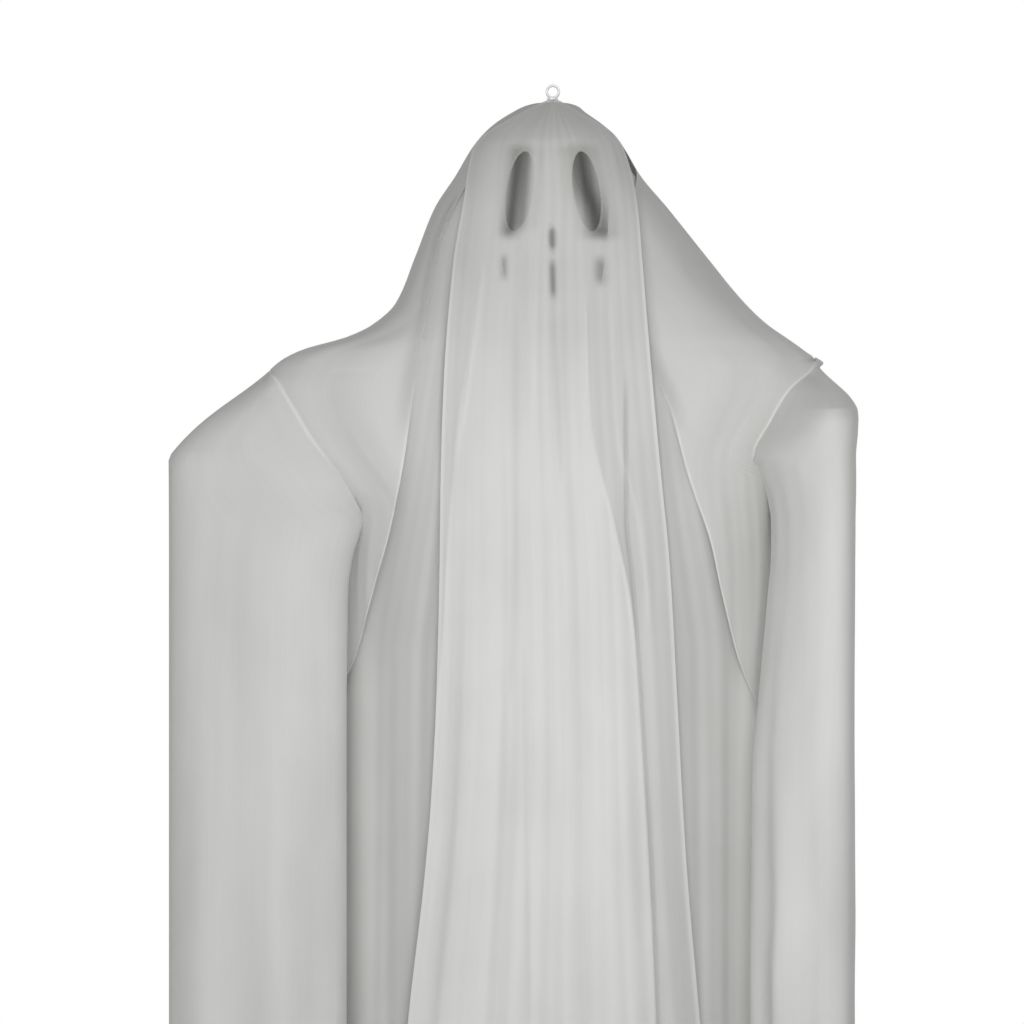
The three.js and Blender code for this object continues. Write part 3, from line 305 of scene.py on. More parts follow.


def clothMaterial(name, thin, thick, threads, slubs, cloud, spread, sheer=True):
    # thin and thick are the colours where the threads are few and many; sheer cloth is as dense as its
    # threadCover attribute, more or less by spread with the weave
    material, tree, shader = newMaterial(name)
    clothMap = node(tree, "ShaderNodeUVMap", uv_map="clothUv")
    group = node(tree, "ShaderNodeGroup", node_tree=weave)
    for key, value in (("Threads", threads), ("Slubs", slubs), ("Cloud", cloud)):
        group.inputs[key].default_value = value
    tree.links.new(clothMap.outputs[0], group.inputs["Map"])
    cover = group.outputs["Cover"]
    cloth = mixColor(tree, cover, (*thin, 1), (*thick, 1))
    # hems, seams and selvedges are mixed towards the lighter colour: denser doubled cloth, and partly a
    # painted highlight along the edges
    onHemHighlight = node(tree, "ShaderNodeAttribute", attribute_name="hem").outputs["Fac"]
    folded = mixColor(tree, calc(tree, "MULTIPLY", onHemHighlight, hemHighlightShare), cloth, hemHighlightColor)
    tree.links.new(folded, shader.inputs["Base Color"])
    shader.inputs["Roughness"].default_value = 0.95
    shader.inputs["Specular IOR Level"].default_value = 0.15
    shader.inputs["Sheen Weight"].default_value = 0.08
    if sheer:
        dense = node(tree, "ShaderNodeAttribute", attribute_name="threadCover").outputs["Fac"]
        factor = calc(tree, "MULTIPLY_ADD", calc(tree, "SUBTRACT", cover, 0.5), spread, 1.0)
        tree.links.new(calc(tree, "MULTIPLY", dense, factor, clamp=True), shader.inputs["Alpha"])
    lift = node(tree, "ShaderNodeBump", {"Height": group.outputs["Height"], "Strength": 0.25,
                                         "Distance": 0.0006})
    tree.links.new(lift.outputs[0], shader.inputs["Normal"])
    return material


gauze = clothMaterial("gauze", thin=(0.64, 0.64, 0.625), thick=(0.74, 0.74, 0.725), threads=0.05,
                      slubs=0.14, cloud=0.5, spread=0.25)
gownCloth = clothMaterial("gownCloth", thin=(0.52, 0.52, 0.51), thick=(0.60, 0.60, 0.59), threads=0.05,
                          slubs=0.15, cloud=0.5, spread=0.0, sheer=False)
print("cloth materials made")


# The cape's own surface, which the veil and the side falls follow
capeRows = [  # depth, half-width to the left and right, half-depth
    [0, 5, 5, 5], [1.5, 20, 18, 19], [5, 33, 29, 32], [11.5, 46, 37, 43], [25, 67, 56, 64],
    [39, 82, 72, 80], [53, 93, 82, 90], [85, 112, 101, 97], [122, 136, 132, 99], [177, 158, 176, 99],
    [232, 181, 221, 97], [257, 208, 247, 96], [271, 237, 267, 96], [286, 289, 288, 95], [299, 314, 304, 95],
    [316, 331, 312, 95], [330, 338, 310, 95], [345, 336, 301, 95], [372, 322, 279, 96], [402, 300, 260, 98],
    [430, 272, 256, 100], [455, 250, 257, 101], [481, 238, 259, 102], [520, 244, 261, 103],
    [560, 247, 260, 104], [700, 248, 253, 108], [1100, 249, 251, 120], [1500, 250, 250, 130],
]
capeSides = {"back": 14, "from": 425, "to": 520}  # how far the sides stand back, over which depths
shoulderFull = [[0, 0], [170, 0], [280, 0.5], [330, 0.5], [500, 0], [1500, 0]]  # depth, how square
widestShare = 0.985  # a front edge stops at this share of the cape's half-width
capeEdges = [  # depth, front edge to the left and right of the middle
    [0, 1, 1], [11.5, 24, 20], [25, 48, 47], [39, 64, 70], [54, 76, 81], [85, 92, 96], [122, 112, 90],
    [165, 130, 92], [287, 150, 104], [350, 161, 131], [433, 173, 154], [503, 188, 178], [557, 204, 190],
    [640, 228, 212], [690, 248, 232], [740, 252, 250], [1500, 252, 252],
]
armholes = {  # z, x of the seam outward
    "left": [[-322, 332], [-334, 320], [-345, 312], [-363, 301], [-408, 274], [-441, 248], [-470, 229],
             [-498, 215], [-530, 195]],
    "right": [[-306, 304], [-314, 301], [-322, 298], [-329, 293], [-335, 286], [-342, 277], [-354, 266],
              [-387, 247], [-420, 230], [-450, 226], [-500, 222]],
}
holeEnds = {  # z where each armhole starts to open, is open, starts to close and is closed
    "left": (-322, -334, -468, -488),
    "right": (-309, -314, -424, -447),
}
veilRows = [row for row in capeRows if row[0] < 200] + [  # the same without the shoulders
    [232, 200, 224, 98], [287, 240, 250, 101], [350, 256, 264, 102], [430, 259, 264, 103],
    [520, 261, 264, 104.5], [700, 263, 264, 109], [1100, 264, 264, 121], [1500, 265, 264, 131],
]


def capePoint(angle, depth, rows=capeRows):
    # an ellipse at each depth, squarer at the shoulders; the angle is 0 in front and grows to the left
    width = np.where(np.sin(angle) > 0, curve(rows, depth, 1), curve(rows, depth, 2))
    y = capeY(np.sin(angle), np.cos(angle), depth, rows)
    return np.stack([-width * np.sin(angle), y, capeTop - depth + 0 * angle], axis=-1)


def capeY(across, front, depth, rows=capeRows):  # from the sine and cosine of the angle
    back = capeSides["back"] * ramp(depth, capeSides["from"], capeSides["to"])
    squared = np.sign(front) * np.abs(front) ** (1 - curve(shoulderFull, depth))
    return back * across ** 2 - curve(rows, depth, 3) * squared


def offCape(angle, depth, distance, rows=capeRows):
    # the cape's point moved along its normal, from the slopes across and down
    angle, depth = np.broadcast_arrays(angle, depth)
    down = np.where(depth < 1, 0.2, 1.0)
    across = capePoint(angle + 0.01, depth, rows) - capePoint(angle - 0.01, depth, rows)
    fall = capePoint(angle, depth + down, rows) - capePoint(angle, np.maximum(depth - down, 0), rows)
    distance = np.broadcast_to(distance, depth.shape)
    return capePoint(angle, depth, rows) + unit(np.cross(across, fall)) * distance[..., None]


def angleAt(x, depth, rows=capeRows):  # the front's angle at a place x to the right
    width = np.where(x < 0, curve(rows, depth, 1), curve(rows, depth, 2))
    return -np.arcsin(np.clip(x / width, -widestShare, widestShare))


def edgeAngle(column, depth):  # where the cape's front edge lies
    share = curve(capeEdges, depth, column) / curve(capeRows, depth, column)
    return np.arcsin(np.minimum(share, widestShare))


def depthRows(top, hem, count):  # closer together on the crown
    return (top + (hem - top) * np.linspace(0, 1, count) ** 1.35)[:, None]


def panel(start, end, count, edge=0.0):
    # columns from start to end at each row; edge draws them together at both ends for the selvedges
    t = np.linspace(0, 1, count)
    t = (1 - edge) * t + edge * 0.5 * (1 - np.cos(pi * t))
    return start + (end - start) * t


cape = {
    "hem": 1455, "rows": 320, "front": 80, "back": 140,  # columns in each front panel and in the back
    "radius": 190, "folds": 11, "foldDepth": 9, "wrinkle": 1.6, "fineWrinkle": 0.25,
    "seamRise": 0.5, "hemRise": 0.6, "density": 0.88, "hoodDensity": 0.8, "backDensity": 0.97,
    "softEdge": 0.5, "softReach": 26, "flat": (0.68, 1.5),
}


def makeCape(c):
    # three panels: left front, back and right front; they part where the armholes are
    depth = depthRows(0, c["hem"], c["rows"])
    z = capeTop - depth
    side, hole = [], []
    for column, name in ((1, "left"), (2, "right")):
        opens, opened, closes, closed = holeEnds[name]
        inHole = ramp(-z, -opens, -opened) * (1 - ramp(-z, -closes, -closed))
        share = curve(armholes[name], z) / curve(capeRows, depth, column)
        side.append(np.arcsin(np.minimum(share + (1 - share) * (1 - inHole), 1)))
        hole.append(inHole)
    left, right = np.minimum(edgeAngle(1, depth), side[0]), np.minimum(edgeAngle(2, depth), side[1])
    angle = np.concatenate([
        panel(left, side[0], c["front"], 0.5),
        panel(pi - side[0], pi + side[1], c["back"]),
        panel(2 * pi - side[1], 2 * pi - right, c["front"], 0.5),
    ], axis=1)
    inFront, onLeft = np.cos(angle) > 0, np.sin(angle) > 0
    inHole = np.where(onLeft, hole[0], hole[1])
    open = np.where(onLeft, side[0], side[1])
    width = np.where(onLeft, curve(capeRows, depth, 1), curve(capeRows, depth, 2))
    toSeam = width * np.abs(np.sin(open) - np.abs(np.sin(angle))) + 200 * (1 - inHole)
    toEdge = np.minimum(angle - left, 2 * pi - right - angle) * width
    around = angle * c["radius"]
    loose = ramp(depth, 150, 480) * ramp(toSeam, 0, 50)
    fold = c["foldDepth"] * ramp(depth, 400, 1200) * np.sin(c["folds"] * angle) * np.abs(np.cos(angle))
    fold = fold + c["wrinkle"] * loose * ripples(around, depth, 3, 90, 500, 6)
    fold = fold + c["fineWrinkle"] * loose * ripples(around, depth, 4, 26, 260)
    seam = bump(toSeam, 0, 2) * inHole * (1 - ramp(-z, 400, 450))
    hemLine = bump(toEdge, 2, 2.5) * ramp(depth, 300, 420)
    grid = offCape(angle, depth, fold + c["seamRise"] * seam + c["hemRise"] * hemLine)
    uv = np.stack([around * mm, -depth * mm + 0 * angle], axis=-1)
    density = c["density"] + (c["hoodDensity"] - c["density"]) * (1 - ramp(depth, 180, 330))
    density = np.where(inFront, density, c["backDensity"])
    soft = c["softEdge"] * ramp(depth, 90, 150) * (1 - ramp(depth, 300, 400))
    density = density - soft * (1 - ramp(toEdge, 0, c["softReach"])) + 0.12 * (seam + hemLine)
    density = density + 0.03 * ripples(around, depth, 5, 90, 400)
    breaks = (c["front"] - 1, c["front"] + c["back"] - 1)
    # the armhole seam and the front hem go into the hem attribute and are painted lighter, partly a painted
    # highlight
    return clothMesh("capeCloth", grid, uv, density, breaks, seam + 0.35 * hemLine)


capeCloth = addPiece("cape_cloth", makeCape(cape), gauze, "figure")
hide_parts("cape")
print("cape made")


# Face veil: gathered over the crown, down the face and the whole front
veil = {
    "hem": 1490, "rows": 330, "columns": 260, "lift": 2.4, "closer": 1.6, "leastLift": 0.6,
    "pleats": 5, "pleatDepth": 8, "fineDepth": 0.35, "width": 200, "clothWidth": 0.32,
    "density": 0.84, "panelDensity": 0.13, "outerDensity": -0.08, "flat": (0.34, 1.52),
    "edges": [  # depth, edge to the left and right of the middle
        [0, 5, 5], [54, 89, 78], [124, 102, 95], [189, 113, 101], [318, 124, 112], [435, 128, 123],
        [527, 129, 132], [688, 133, 141], [803, 139, 147], [895, 147, 153], [1033, 163, 165],
        [1500, 205, 205],
    ],
    "panelLeft": [[60, -84], [250, -92], [381, -110], [440, -115], [520, -121], [620, -126], [700, -133],
                  [1500, -210]],
    "panelRight": [[60, 30], [247, 37], [366, 43], [480, 68], [565, 86], [630, 95], [757, 103], [895, 110],
                   [1060, 117], [1500, 130]],
}
veilLines = [  # thin valleys and ridges: where each runs (depth, x), from and to, half-width, height
    {"run": [[100, 1], [234, 1], [362, 6], [520, 12]], "from": 150, "to": 460, "half": 3.5, "height": -1.4,
     "density": -0.1},
    {"run": [[560, -34], [1060, -26], [1500, -20]], "from": 600, "to": 1600, "half": 3.5, "height": -1.2,
     "density": -0.05},
    {"run": [[377, 82], [481, 83], [550, 90], [630, 96], [757, 104], [895, 112], [1060, 119], [1500, 132]],
     "from": 300, "to": 1600, "half": 2.4, "height": -2.4, "density": -0.2},
    {"run": [[247, 37], [366, 40], [480, 66], [565, 85], [680, 98]], "from": 200, "to": 640, "half": 2.6,
     "height": 1.4, "density": 0.08},
    {"run": [[234, 65], [381, 73], [480, 96], [565, 106]], "from": 200, "to": 620, "half": 4.0,
     "height": 1.4, "density": 0.08},
    {"run": [[199, -80], [296, -92], [400, -109]], "from": 170, "to": 420, "half": 4.0, "height": 1.4,
     "density": 0.08},
    {"run": [[250, -43], [400, -43], [700, -50]], "from": 230, "to": 700, "half": 4.5, "height": -1.0,
     "density": -0.05},
    {"run": [[500, 0], [1060, 12], [1500, 20]], "from": 420, "to": 1600, "half": 6.0, "height": 1.0,
     "density": 0.05},
    {"run": [[130, -14], [300, -20], [700, -14]], "from": 110, "to": 600, "half": 5.0, "height": 1.0,
     "density": 0.05},
]
veilGaps = [  # where the gathers part and the face shows: depth and x, from and to, half-width, thinning
    {"run": [[60, 27], [100, 35], [130, 46], [155, 52]], "from": 56, "to": 160, "half": 17, "thin": 0.7},
    {"run": [[60, -38], [155, -49]], "from": 56, "to": 158, "half": 10, "thin": 0.66},
    {"run": [[60, -27], [155, -35]], "from": 58, "to": 150, "half": 6, "thin": 0.3},
    {"run": [[60, -14], [155, -22]], "from": 60, "to": 150, "half": 5, "thin": 0.12},
    {"run": [[145, -2], [175, -1]], "from": 148, "to": 174, "half": 4.5, "thin": 0.45},
    {"run": [[175, -2], [230, 0]], "from": 188, "to": 226, "half": 4, "thin": 0.36},
    {"run": [[175, -55], [210, -56]], "from": 182, "to": 206, "half": 4.5, "thin": 0.36},
    {"run": [[180, 52], [220, 55]], "from": 184, "to": 212, "half": 6.5, "thin": 0.42},
]


def makeVeil(v):
    # columns share out the width from edge to edge, so that the gathers run down in smooth lines
    depth = depthRows(0, v["hem"], v["rows"])
    share = panel(1 + 0 * depth, 0 * depth, v["columns"], 0.3)[:, ::-1]
    x = -curve(v["edges"], depth, 1) * share + curve(v["edges"], depth, 2) * (1 - share)
    angle = angleAt(x, depth, veilRows)
    amount = v["pleatDepth"] * ramp(depth, 200, 1000)
    inside = ramp(np.minimum(share, 1 - share), 0, 0.12)
    pleat = amount / 2 * (1 + np.sin(2 * pi * v["pleats"] * share))
    lift = v["lift"] - v["closer"] * ramp(depth, 300, 420) + inside * (2 * ramp(depth, 15, 75) + pleat)
    across = share * v["width"]
    fine = ripples(across, depth, 11, 14, 1600) + 0.8 * ripples(across, depth, 12, 34, 1800)
    lift = lift + v["fineDepth"] * ramp(depth, 60, 300) * fine
    panelLeft, panelRight = curve(v["panelLeft"], depth), curve(v["panelRight"], depth)
    inPanel = ramp(x, panelLeft - 2, panelLeft + 2) * (1 - ramp(x, panelRight - 2, panelRight + 2))
    density = v["density"] + v["panelDensity"] * inPanel * ramp(depth, 170, 420) + 0.012 * fine
    density = density + v["outerDensity"] * (1 - inPanel) * ramp(depth, 330, 600)
    for line in veilLines:
        on = bump(x, curve(line["run"], depth), line["half"]) * ramp(depth, line["from"], line["from"] + 60)
        on = on * (1 - ramp(depth, line["to"] - 60, line["to"]))
        lift = lift + line["height"] * on
        density = density + line["density"] * on
    selvedge = 1 - ramp(np.minimum(share, 1 - share) * 220, 1.5, 5)
    density = density + 0.1 * selvedge + 0.015 * ripples(across, depth, 14, 16, 1600)
    for gap in veilGaps:
        on = ramp(depth, gap["from"] - 8, gap["from"] + 8) * (1 - ramp(depth, gap["to"] - 8, gap["to"] + 8))
        density = density - gap["thin"] * on * bump(x, curve(gap["run"], depth), gap["half"])
    grid = offCape(angle, depth, np.maximum(lift, v["leastLift"]), veilRows)
    uv = np.stack([share * v["clothWidth"], -depth * mm + 0 * angle], axis=-1)
    # the selvedges go into the hem attribute and are painted lighter, partly a painted highlight
    return clothMesh("veilCloth", grid, uv, density, (), 0.4 * selvedge * ramp(depth, 60, 200))


veilCloth = addPiece("veil_cloth", makeVeil(veil), gauze, "figure")
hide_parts("face_veil")
print("veil made")


# Side falls: sheerer gauze from under the veil's edges
falls = {
    "top": 80, "hem": 1470, "rows": 240, "columns": 110, "inset": 2.4, "deeper": 1.6,
    "gathers": 3, "gather": 2.0, "waviness": 1.0, "width": 170, "clothWidth": 0.2,
    "density": 0.68, "topDensity": 0.82, "flat": (0.17, 1.42),
    "edges": [  # depth, inner and outer edge from the middle
        [80, 66, 92], [100, 65, 104], [165, 62, 142], [287, 40, 168], [433, 32, 200], [560, 34, 230],
        [640, 38, 242], [1500, 60, 244],
    ],
}


def makeFall(f, side, seed):
    depth = depthRows(f["top"], f["hem"], f["rows"])
    share = panel(0 * depth, 1 + 0 * depth, f["columns"])
    x = side * (curve(f["edges"], depth, 1) * (1 - share) + curve(f["edges"], depth, 2) * share)
    angle = angleAt(x, depth)
    across = share * f["width"]
    inset = f["inset"] + f["deeper"] * ramp(depth, 88, 300)
    gathers = 0.5 - 0.5 * np.cos(2 * pi * f["gathers"] * share ** 1.3)
    fold = f["gather"] * ramp(depth, 200, 800) * gathers
    fold = fold + f["waviness"] * ramp(depth, 150, 500) * (1 + ripples(across, depth, seed, 52, 1400))
    grid = offCape(angle, depth, -inset - fold)
    uv = np.stack([share * f["clothWidth"] + side, -depth * mm + 0 * angle], axis=-1)
    density = f["topDensity"] + (f["density"] - f["topDensity"]) * ramp(depth, 330, 620)
    density = density + 0.03 * ripples(across, depth, seed + 1, 22, 1500) + 0.012 * fold
    density = density + 0.3 * ramp(np.abs(x), 165, 225) * ramp(depth, 520, 700)
    toLeft = slice(None, None, -side)  # the grid's columns run to the left
    return clothMesh("fallCloth", grid[:, toLeft], uv[:, toLeft], density[:, toLeft])


for side, name, seed in ((-1, "left", 21), (1, "right", 27)):
    fall = addPiece(name + "_fall_cloth", makeFall(falls, side, seed), gauze, "figure")
    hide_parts(name + "_side_fall")
print("side falls made")


# Gown: closed loops from the bar's top down to the hem, open at the armholes
gown = {
    "rows": 240, "columns": 130, "folds": 7, "foldDepth": 7, "waviness": 1.5,
    "armholeX": 180, "armholeZ": -470, "armholeCurve": 24, "hem": -1515,
    "barEndZ": -326, "barBow": 22, "bowReach": 240, "onBar": 8.6, "flat": (1.0, 1.3),
    "ridge": [[42, 26], [80, 28], [120, 29], [158, 30], [192, 32]],  # x along the bar, half-depth
    "loops": [  # z, half-width, half-depth
        [-345, 196, 38], [-420, 200, 52], [-500, 206, 62], [-560, 214, 67], [-700, 228, 76],
        [-1000, 234, 84], [-1300, 236, 90], [-1515, 237, 96],
    ],
}


def makeGown(g):
    # the top loops lie on the bar, whose bow is half a cosine wave on each side
    rise = [g["barBow"] / 2 * (1 + cos(pi * x / g["bowReach"])) for x, _ in g["ridge"]]
    barZ = [g["barEndZ"] + up + g["onBar"] for up in rise]
    loops = [[z, x, y] for z, (x, y) in zip(barZ, g["ridge"])] + g["loops"]
    share = np.linspace(0, 1, g["rows"]) ** 1.6
    z = (barZ[0] + (g["hem"] - barZ[0]) * share)[:, None]
    width, half = curve(loops, z, 1), curve(loops, z, 2)
    hole = np.where(z > g["armholeZ"], g["armholeX"] / width, 1 + 0 * z)
    hole = hole + (1 - hole) * ramp(z, g["armholeZ"] + g["armholeCurve"], g["armholeZ"])
    side = np.arcsin(np.minimum(hole, 1))
    front, back = panel(-side, side, g["columns"]), panel(pi - side, pi + side, g["columns"])
    angle = np.concatenate([front, back], axis=1)
    fold = g["foldDepth"] * ramp(-z, 400, 1200) * np.sin(g["folds"] * angle + 1)
    fold = fold + g["waviness"] * ramp(-z, 380, 700) * ripples(angle * 150, z, 31, 60, 1200)
    scale = 1 + fold / half * np.abs(np.cos(angle))
    grid = np.stack([-width * np.sin(angle), -half * np.cos(angle) * scale, z + 0 * angle], axis=-1)
    uv = np.stack([angle * 0.17, z * mm + 0 * angle], axis=-1)
    return clothMesh("gownCloth", grid, uv, 1 + 0 * angle, (g["columns"] - 1,))


gownPiece = addPiece("gown_cloth", makeGown(gown), gownCloth, "figure")
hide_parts("gown")
print("gown made")


# Sleeves: loops round the arm's line at each height, cut off along the armhole
sleeves = {
    "rows": 150, "fallRows": 150, "columns": 200, "hem": -1400, "foldDepth": 7,
    "pivotX": 293, "pivotZ": -326, "boltTop": -312.7, "lugReach": 20, "socket": 24, "socketRadius": 6.5,
    "rod": 162, "ball": 8, "over": 2.3, "density": 0.88, "seamReach": 100,
    "folds": 6, "waves": 1.8, "fineWaves": 0.35, "lowWaves": 1.6,
    "left": {
        "side": -1, "flat": (0.64, 1.08), "swing": 20, "droop": 40,  # degrees
        "ridge": [[-297, -26]],  # z and reach from the pivot, over the bar's end
        "rows": [  # z, the loop's end at the body as x outward and y, half-thickness
            [-299.5, 242, 5, 12], [-304, 240, 6, 15], [-333, 238, 10, 32], [-372, 237, 14, 42],
            [-400, 229, 12, 46], [-430, 222, 4, 48], [-450, 217, -5, 49], [-470, 215, -14, 49],
            [-498, 217, -26, 49], [-520, 223, -33, 49], [-540, 229, -38, 49], [-577, 234, -42, 49],
            [-720, 236, -44, 50], [-1400, 236, -46, 52],
        ],
        "bend": ((-0.296, 0.0, -0.33), (-0.376, 0.0, -0.33)), "joined": (-498, -456),
    },
    "right": {
        "side": 1, "flat": (0.54, 1.08), "swing": 80, "droop": 20.6,
        "ridge": [[-288.5, -26], [-298, -13], [-305.5, -2]],
        "rows": [
            [-288, 240, 2, 10], [-310, 256, 24, 14], [-326, 262, 36, 20], [-345, 258, 42, 32],
            [-358, 255, 44, 41], [-372, 252, 45, 46], [-400, 244, 40, 47], [-420, 241, 33, 45],
            [-445, 252, 24, 42], [-470, 262, 12, 39], [-500, 266, -3, 37], [-540, 265, -18, 37],
            [-580, 261, -28, 38], [-700, 249, -38, 40], [-780, 242, -42, 42], [-1400, 238, -44, 44],
        ],
        "bend": ((0.292, 0.0, -0.33), (0.370, -0.02, -0.33)), "joined": (-455, -425),
    },
}


def makeSleeve(name, s, arm, armhole, seed):
    side, slope = arm["side"], radians(arm["droop"])

    def at(along, above):  # z and reach of a place along the rod and above it
        return [s["pivotZ"] - along * sin(slope) + above * cos(slope),
                s["lugReach"] + along * cos(slope) + above * sin(slope)]

    over = s["over"]
    tip = at(s["rod"], 0)
    ridge = arm["ridge"] + [
        [s["boltTop"] + over, 7], [s["pivotZ"] + s["socketRadius"] + over, s["lugReach"] + 1],
        at(s["socket"], s["socketRadius"] + over), at(s["rod"], s["ball"] + over + 1),
        [tip[0], tip[1] + s["ball"] + over + 1],
    ]
    byReach = np.linspace(ridge[0][1], ridge[-1][1], s["rows"])
    upper = curve([[r, z] for z, r in ridge], byReach)
    lower = upper[-1] + (s["hem"] - upper[-1]) * np.linspace(0, 1, s["fallRows"] + 1)[1:]
    z = np.concatenate([upper, lower])[:, None]
    reach = np.concatenate([byReach, np.full(s["fallRows"], byReach[-1])])[:, None]
    turned = radians(arm["swing"]) * ramp(reach, 0, 40)
    inner = np.concatenate([side * curve(arm["rows"], z, 1), curve(arm["rows"], z, 2)], axis=1)
    out = np.concatenate([side * (s["pivotX"] + reach * np.cos(turned)), -reach * np.sin(turned)], axis=1)
    middle, along = (inner + out) / 2, (out - inner) / 2
    length = np.linalg.norm(along, axis=1, keepdims=True)
    thick = curve(arm["rows"], z, 3)
    open = curve(armhole, z)
    a, b = side * along[:, :1], side * along[:, 1:] * thick / length
    phase = np.arctan2(b, a)
    half = np.arccos(np.clip((open - side * middle[:, :1]) / np.hypot(a, b), -1, 1))
    w = np.linspace(1, -1, s["columns"])
    turn = phase + w * half
    across = np.abs(np.sin(turn))
    fold = s["foldDepth"] * ramp(-z, 450, 1100) * np.sin(s["folds"] * turn)
    fold = fold + s["waves"] * ramp(-z, 330, 620) * wave(turn, z, seed, 2, 4, 700)
    fold = fold + s["fineWaves"] * ramp(-z, 330, 420) * wave(turn, z, seed + 1, 8, 20, 380)
    fold = fold + s["lowWaves"] * ramp(-z, 780, 1000) * wave(turn, z, seed + 3, 3, 7, 170, 5)
    t, q = np.cos(turn) * length, -np.sin(turn) * (thick + fold * across)
    x = middle[:, :1] + (along[:, :1] * t - along[:, 1:] * q) / length
    y = middle[:, 1:] + (along[:, 1:] * t + along[:, :1] * q) / length
    # at the armhole the sleeve's edges take the cape's own depth, so that the two meet
    depth = capeTop - z
    share = np.clip(open / curve(capeRows, depth, 1 if side < 0 else 2), 0, 1)
    joined = (half < pi - 0.01) * ramp(z, *arm["joined"])
    toSeam = (1 - np.abs(w)) * half * (length + thick) / 2
    shareOut = ramp(np.abs(w), 0, 0.9)
    for end, front in ((0, side), (-1, -side)):
        offset = capeY(share, front * np.sqrt(1 - share ** 2), depth) - y[:, end:][:, :1]
        onSide = w > 0 if end == 0 else w <= 0
        y = y + joined * onSide * offset * (1 - ramp(toSeam, 0, s["seamReach"])) * shareOut
    grid = np.stack([x, y, z + 0 * x], axis=-1)
    uv = np.stack([w * 0.3 + 0 * z + side, z * mm + 0 * x], axis=-1)
    seam = joined * bump(toSeam, 0, 2) * (1 - ramp(-z, 400, 450))
    cuff = bump(z + 0 * x, s["hem"] + 6, 6)
    density = s["density"] + 0.04 * wave(turn, z, seed + 2, 2, 6, 400) + 0.1 * (seam + cuff) + 0 * z
    # the armhole seam and the cuff go into the hem attribute and are painted lighter, partly a painted
    # highlight
    return clothMesh(name, grid, uv, density, (), seam + 0.5 * cuff)


for name, seed in (("left", 41), ("right", 47)):
    arm = sleeves[name]
    cloth = makeSleeve(name + "SleeveCloth", sleeves, arm, armholes[name], seed)
    sleeve = addPiece(name + "_sleeve_cloth", cloth, gauze, None)
    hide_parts(name + "_sleeve")
    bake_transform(sleeve)
print("sleeves made")


# Head: a revolved profile, deeper than wide, with brows, cheeks and a nose pushed into its front
head = {
    "top": -24.2, "deeper": 0.147, "seamY": 8, "seamGap": 0.15, "wall": 2.4,
    "rows": 150, "front": 170, "back": 110,
    "profile": [  # down from the dome's top, half-width
        [1.8, 17.3], [4.4, 26.6], [13.5, 45.1], [27.1, 60.9], [49.2, 70.5], [78.7, 74], [123, 73],
        [162.4, 69], [191.9, 61], [214, 48], [229.3, 34], [246, 34],
    ],
    "holes": [  # middle, half-width and half-height, lean outward, how square
        {"x": -39, "down": 99, "wide": 16, "high": 46, "lean": 9, "square": 2.0},
        {"x": 39, "down": 99, "wide": 16, "high": 46, "lean": -9, "square": 2.0},
        {"x": 0, "down": 153, "wide": 6.5, "high": 11, "lean": 0, "square": 2.0},
        {"x": 0, "down": 196, "wide": 54, "high": 21, "lean": 0, "square": 2.4},
    ],
}


def holeDistance(hole, x, down):  # 1 on the opening's rim, less inside
    lean = radians(hole["lean"])
    dx, dz = x - hole["x"], hole["down"] - down
    p, q = dx * cos(lean) - dz * sin(lean), dx * sin(lean) + dz * cos(lean)
    n = hole["square"]
    return (np.abs(p / hole["wide"]) ** n + np.abs(q / hole["high"]) ** n) ** (1 / n)


def headFront(x, down):  # how far the face stands out of the plain head at a place seen from the front
    nose = 7 * bump(x, 0, 13) * bump(down, 139, 26)
    brow = 3 * (bump(x, -32, 26) + bump(x, 32, 26)) * bump(down, 44, 14)
    cheek = 4 * (bump(x, -50, 16) + bump(x, 50, 16)) * bump(down, 172, 26)
    rim = sum(1.6 * bump(holeDistance(hole, x, down), 1, 0.25) for hole in head["holes"])
    return nose + brow - cheek - rim


def headStretch(down):  # how much deeper than wide the head is
    return 1 + head["deeper"] * ramp(down, 0, 61.5) * (1 - ramp(down, 153, 230))


def headPoint(angle, down):
    radius = curve(head["profile"], down)
    x, flatY = radius * np.sin(angle), -radius * np.cos(angle)
    front = np.where(flatY < 0, headFront(x, down), 0) * ramp(-flatY, 10, 40)
    return np.stack([x, flatY * headStretch(down) - front, head["top"] - down + 0 * angle], axis=-1)


def makeHeadPart(name, back):
    h = head
    down = np.linspace(h["profile"][0][0], h["profile"][-1][0], h["rows"])[:, None]
    seam = h["seamY"] + (h["seamGap"] if back else -h["seamGap"])
    edge = np.arccos(np.clip(-seam / (curve(h["profile"], down) * headStretch(down)), -1, 1))
    angle = panel(-edge, edge, h["front"]) if not back else panel(edge, 2 * pi - edge, h["back"])
    points = headPoint(angle, down)
    rows, columns = angle.shape
    faces = gridFaces(rows, columns)[:, ::-1]  # the angle runs to the right here
    flat = points.reshape(-1, 3)
    if not back:
        for hole in h["holes"]:
            d = holeDistance(hole, flat[:, 0], h["top"] - flat[:, 2])
            gone = (d[faces].mean(axis=1) < 1) & (flat[faces][:, :, 1].mean(axis=1) < 0)
            rim = np.intersect1d(faces[gone], faces[~gone])  # these corners move onto the opening's rim
            middle = np.array([hole["x"], h["top"] - hole["down"]])
            place = middle + (flat[rim][:, [0, 2]] - middle) / d[rim][:, None]
            downs = h["top"] - place[:, 1]
            side = np.arcsin(np.clip(place[:, 0] / curve(h["profile"], downs), -1, 1))
            flat[rim] = headPoint(side, downs)
            faces = faces[~gone]
    mesh = fillMesh(name, flat, faces)
    work = bmesh.new()
    work.from_mesh(mesh)
    bmesh.ops.delete(work, geom=[v for v in work.verts if not v.link_faces], context="VERTS")
    work.to_mesh(mesh)
    work.free()
    return mesh


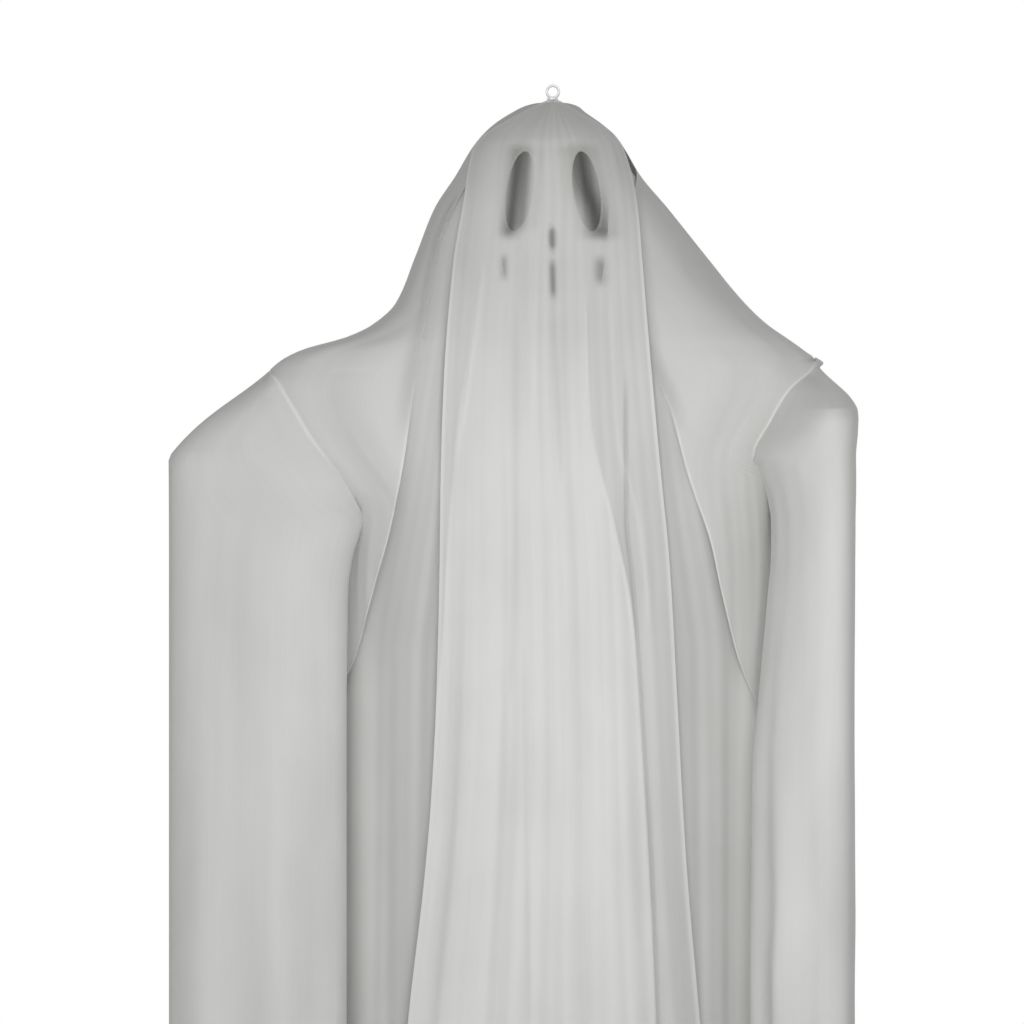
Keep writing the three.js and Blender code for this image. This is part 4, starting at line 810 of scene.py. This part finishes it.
def plasticMaterial(name, color, dark, roughness, scale, lift):
    material, tree, shader = newMaterial(name)
    place = node(tree, "ShaderNodeTexCoord").outputs["Object"]
    noise = node(tree, "ShaderNodeTexNoise", {"Vector": place, "Scale": scale, "Detail": 4.0})
    fine = node(tree, "ShaderNodeTexNoise", {"Vector": place, "Scale": scale * 14, "Detail": 2.0})
    tree.links.new(mixColor(tree, noise.outputs[0], (*dark, 1), (*color, 1)), shader.inputs["Base Color"])
    rough = calc(tree, "MULTIPLY_ADD", noise.outputs[0], 0.25, roughness - 0.12)
    tree.links.new(rough, shader.inputs["Roughness"])
    raised = node(tree, "ShaderNodeBump", {"Height": fine.outputs[0], "Strength": lift, "Distance": 0.0004})
    tree.links.new(raised.outputs[0], shader.inputs["Normal"])
    return material


maskPlastic = plasticMaterial("maskPlastic", (0.62, 0.61, 0.58), (0.54, 0.53, 0.50), 0.5, 30, 0.15)
for name, back, replaced in (
    ("face_mask", False, "face_shell"),
    ("rear_head_mask", True, "rear_head_shell"),
):
    piece = addPiece(name, makeHeadPart(name, back), maskPlastic, "figure")
    wall = piece.modifiers.new("wall", "SOLIDIFY")
    wall.thickness, wall.offset = head["wall"] * mm, -1
    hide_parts(replaced)
print("head made")


# Finishes of the solids that stay as they are
def metalMaterial(name, color, roughness, stretch, lift):
    material, tree, shader = newMaterial(name)
    place = node(tree, "ShaderNodeTexCoord").outputs["Object"]
    drawn = node(tree, "ShaderNodeMapping", {"Vector": place, "Scale": stretch})
    noise = node(tree, "ShaderNodeTexNoise", {"Vector": drawn.outputs[0], "Scale": 90.0, "Detail": 5.0})
    worn = tuple(0.82 * c for c in color)
    tree.links.new(mixColor(tree, noise.outputs[0], (*worn, 1), (*color, 1)), shader.inputs["Base Color"])
    shader.inputs["Metallic"].default_value = 1.0
    rough = calc(tree, "MULTIPLY_ADD", noise.outputs[0], 0.22, roughness - 0.1)
    tree.links.new(rough, shader.inputs["Roughness"])
    raised = node(tree, "ShaderNodeBump", {"Height": noise.outputs[0], "Strength": lift,
                                           "Distance": 0.0002})
    tree.links.new(raised.outputs[0], shader.inputs["Normal"])
    return material


finishes = {
    "moulding": plasticMaterial("blackMoulding", (0.045, 0.045, 0.047), (0.03, 0.03, 0.031), 0.45, 60, 0.2),
    "lining": plasticMaterial("blackLining", (0.012, 0.012, 0.012), (0.006, 0.006, 0.006), 0.9, 40, 0.3),
    "tube": metalMaterial("drawnTube", (0.76, 0.77, 0.78), 0.36, (1, 14, 14), 0.1),
    "steel": metalMaterial("platedSteel", (0.66, 0.67, 0.68), 0.32, (3, 3, 3), 0.1),
    "mask": maskPlastic,
}
slotOf = {part["node"]: part["material_slot"] for part in frame["record"]["subparts"]}
for name, solid in frame["nodes"].items():
    if slotOf[name] in finishes:
        solid.data.materials.clear()
        solid.data.materials.append(finishes[slotOf[name]])
print("solids finished")
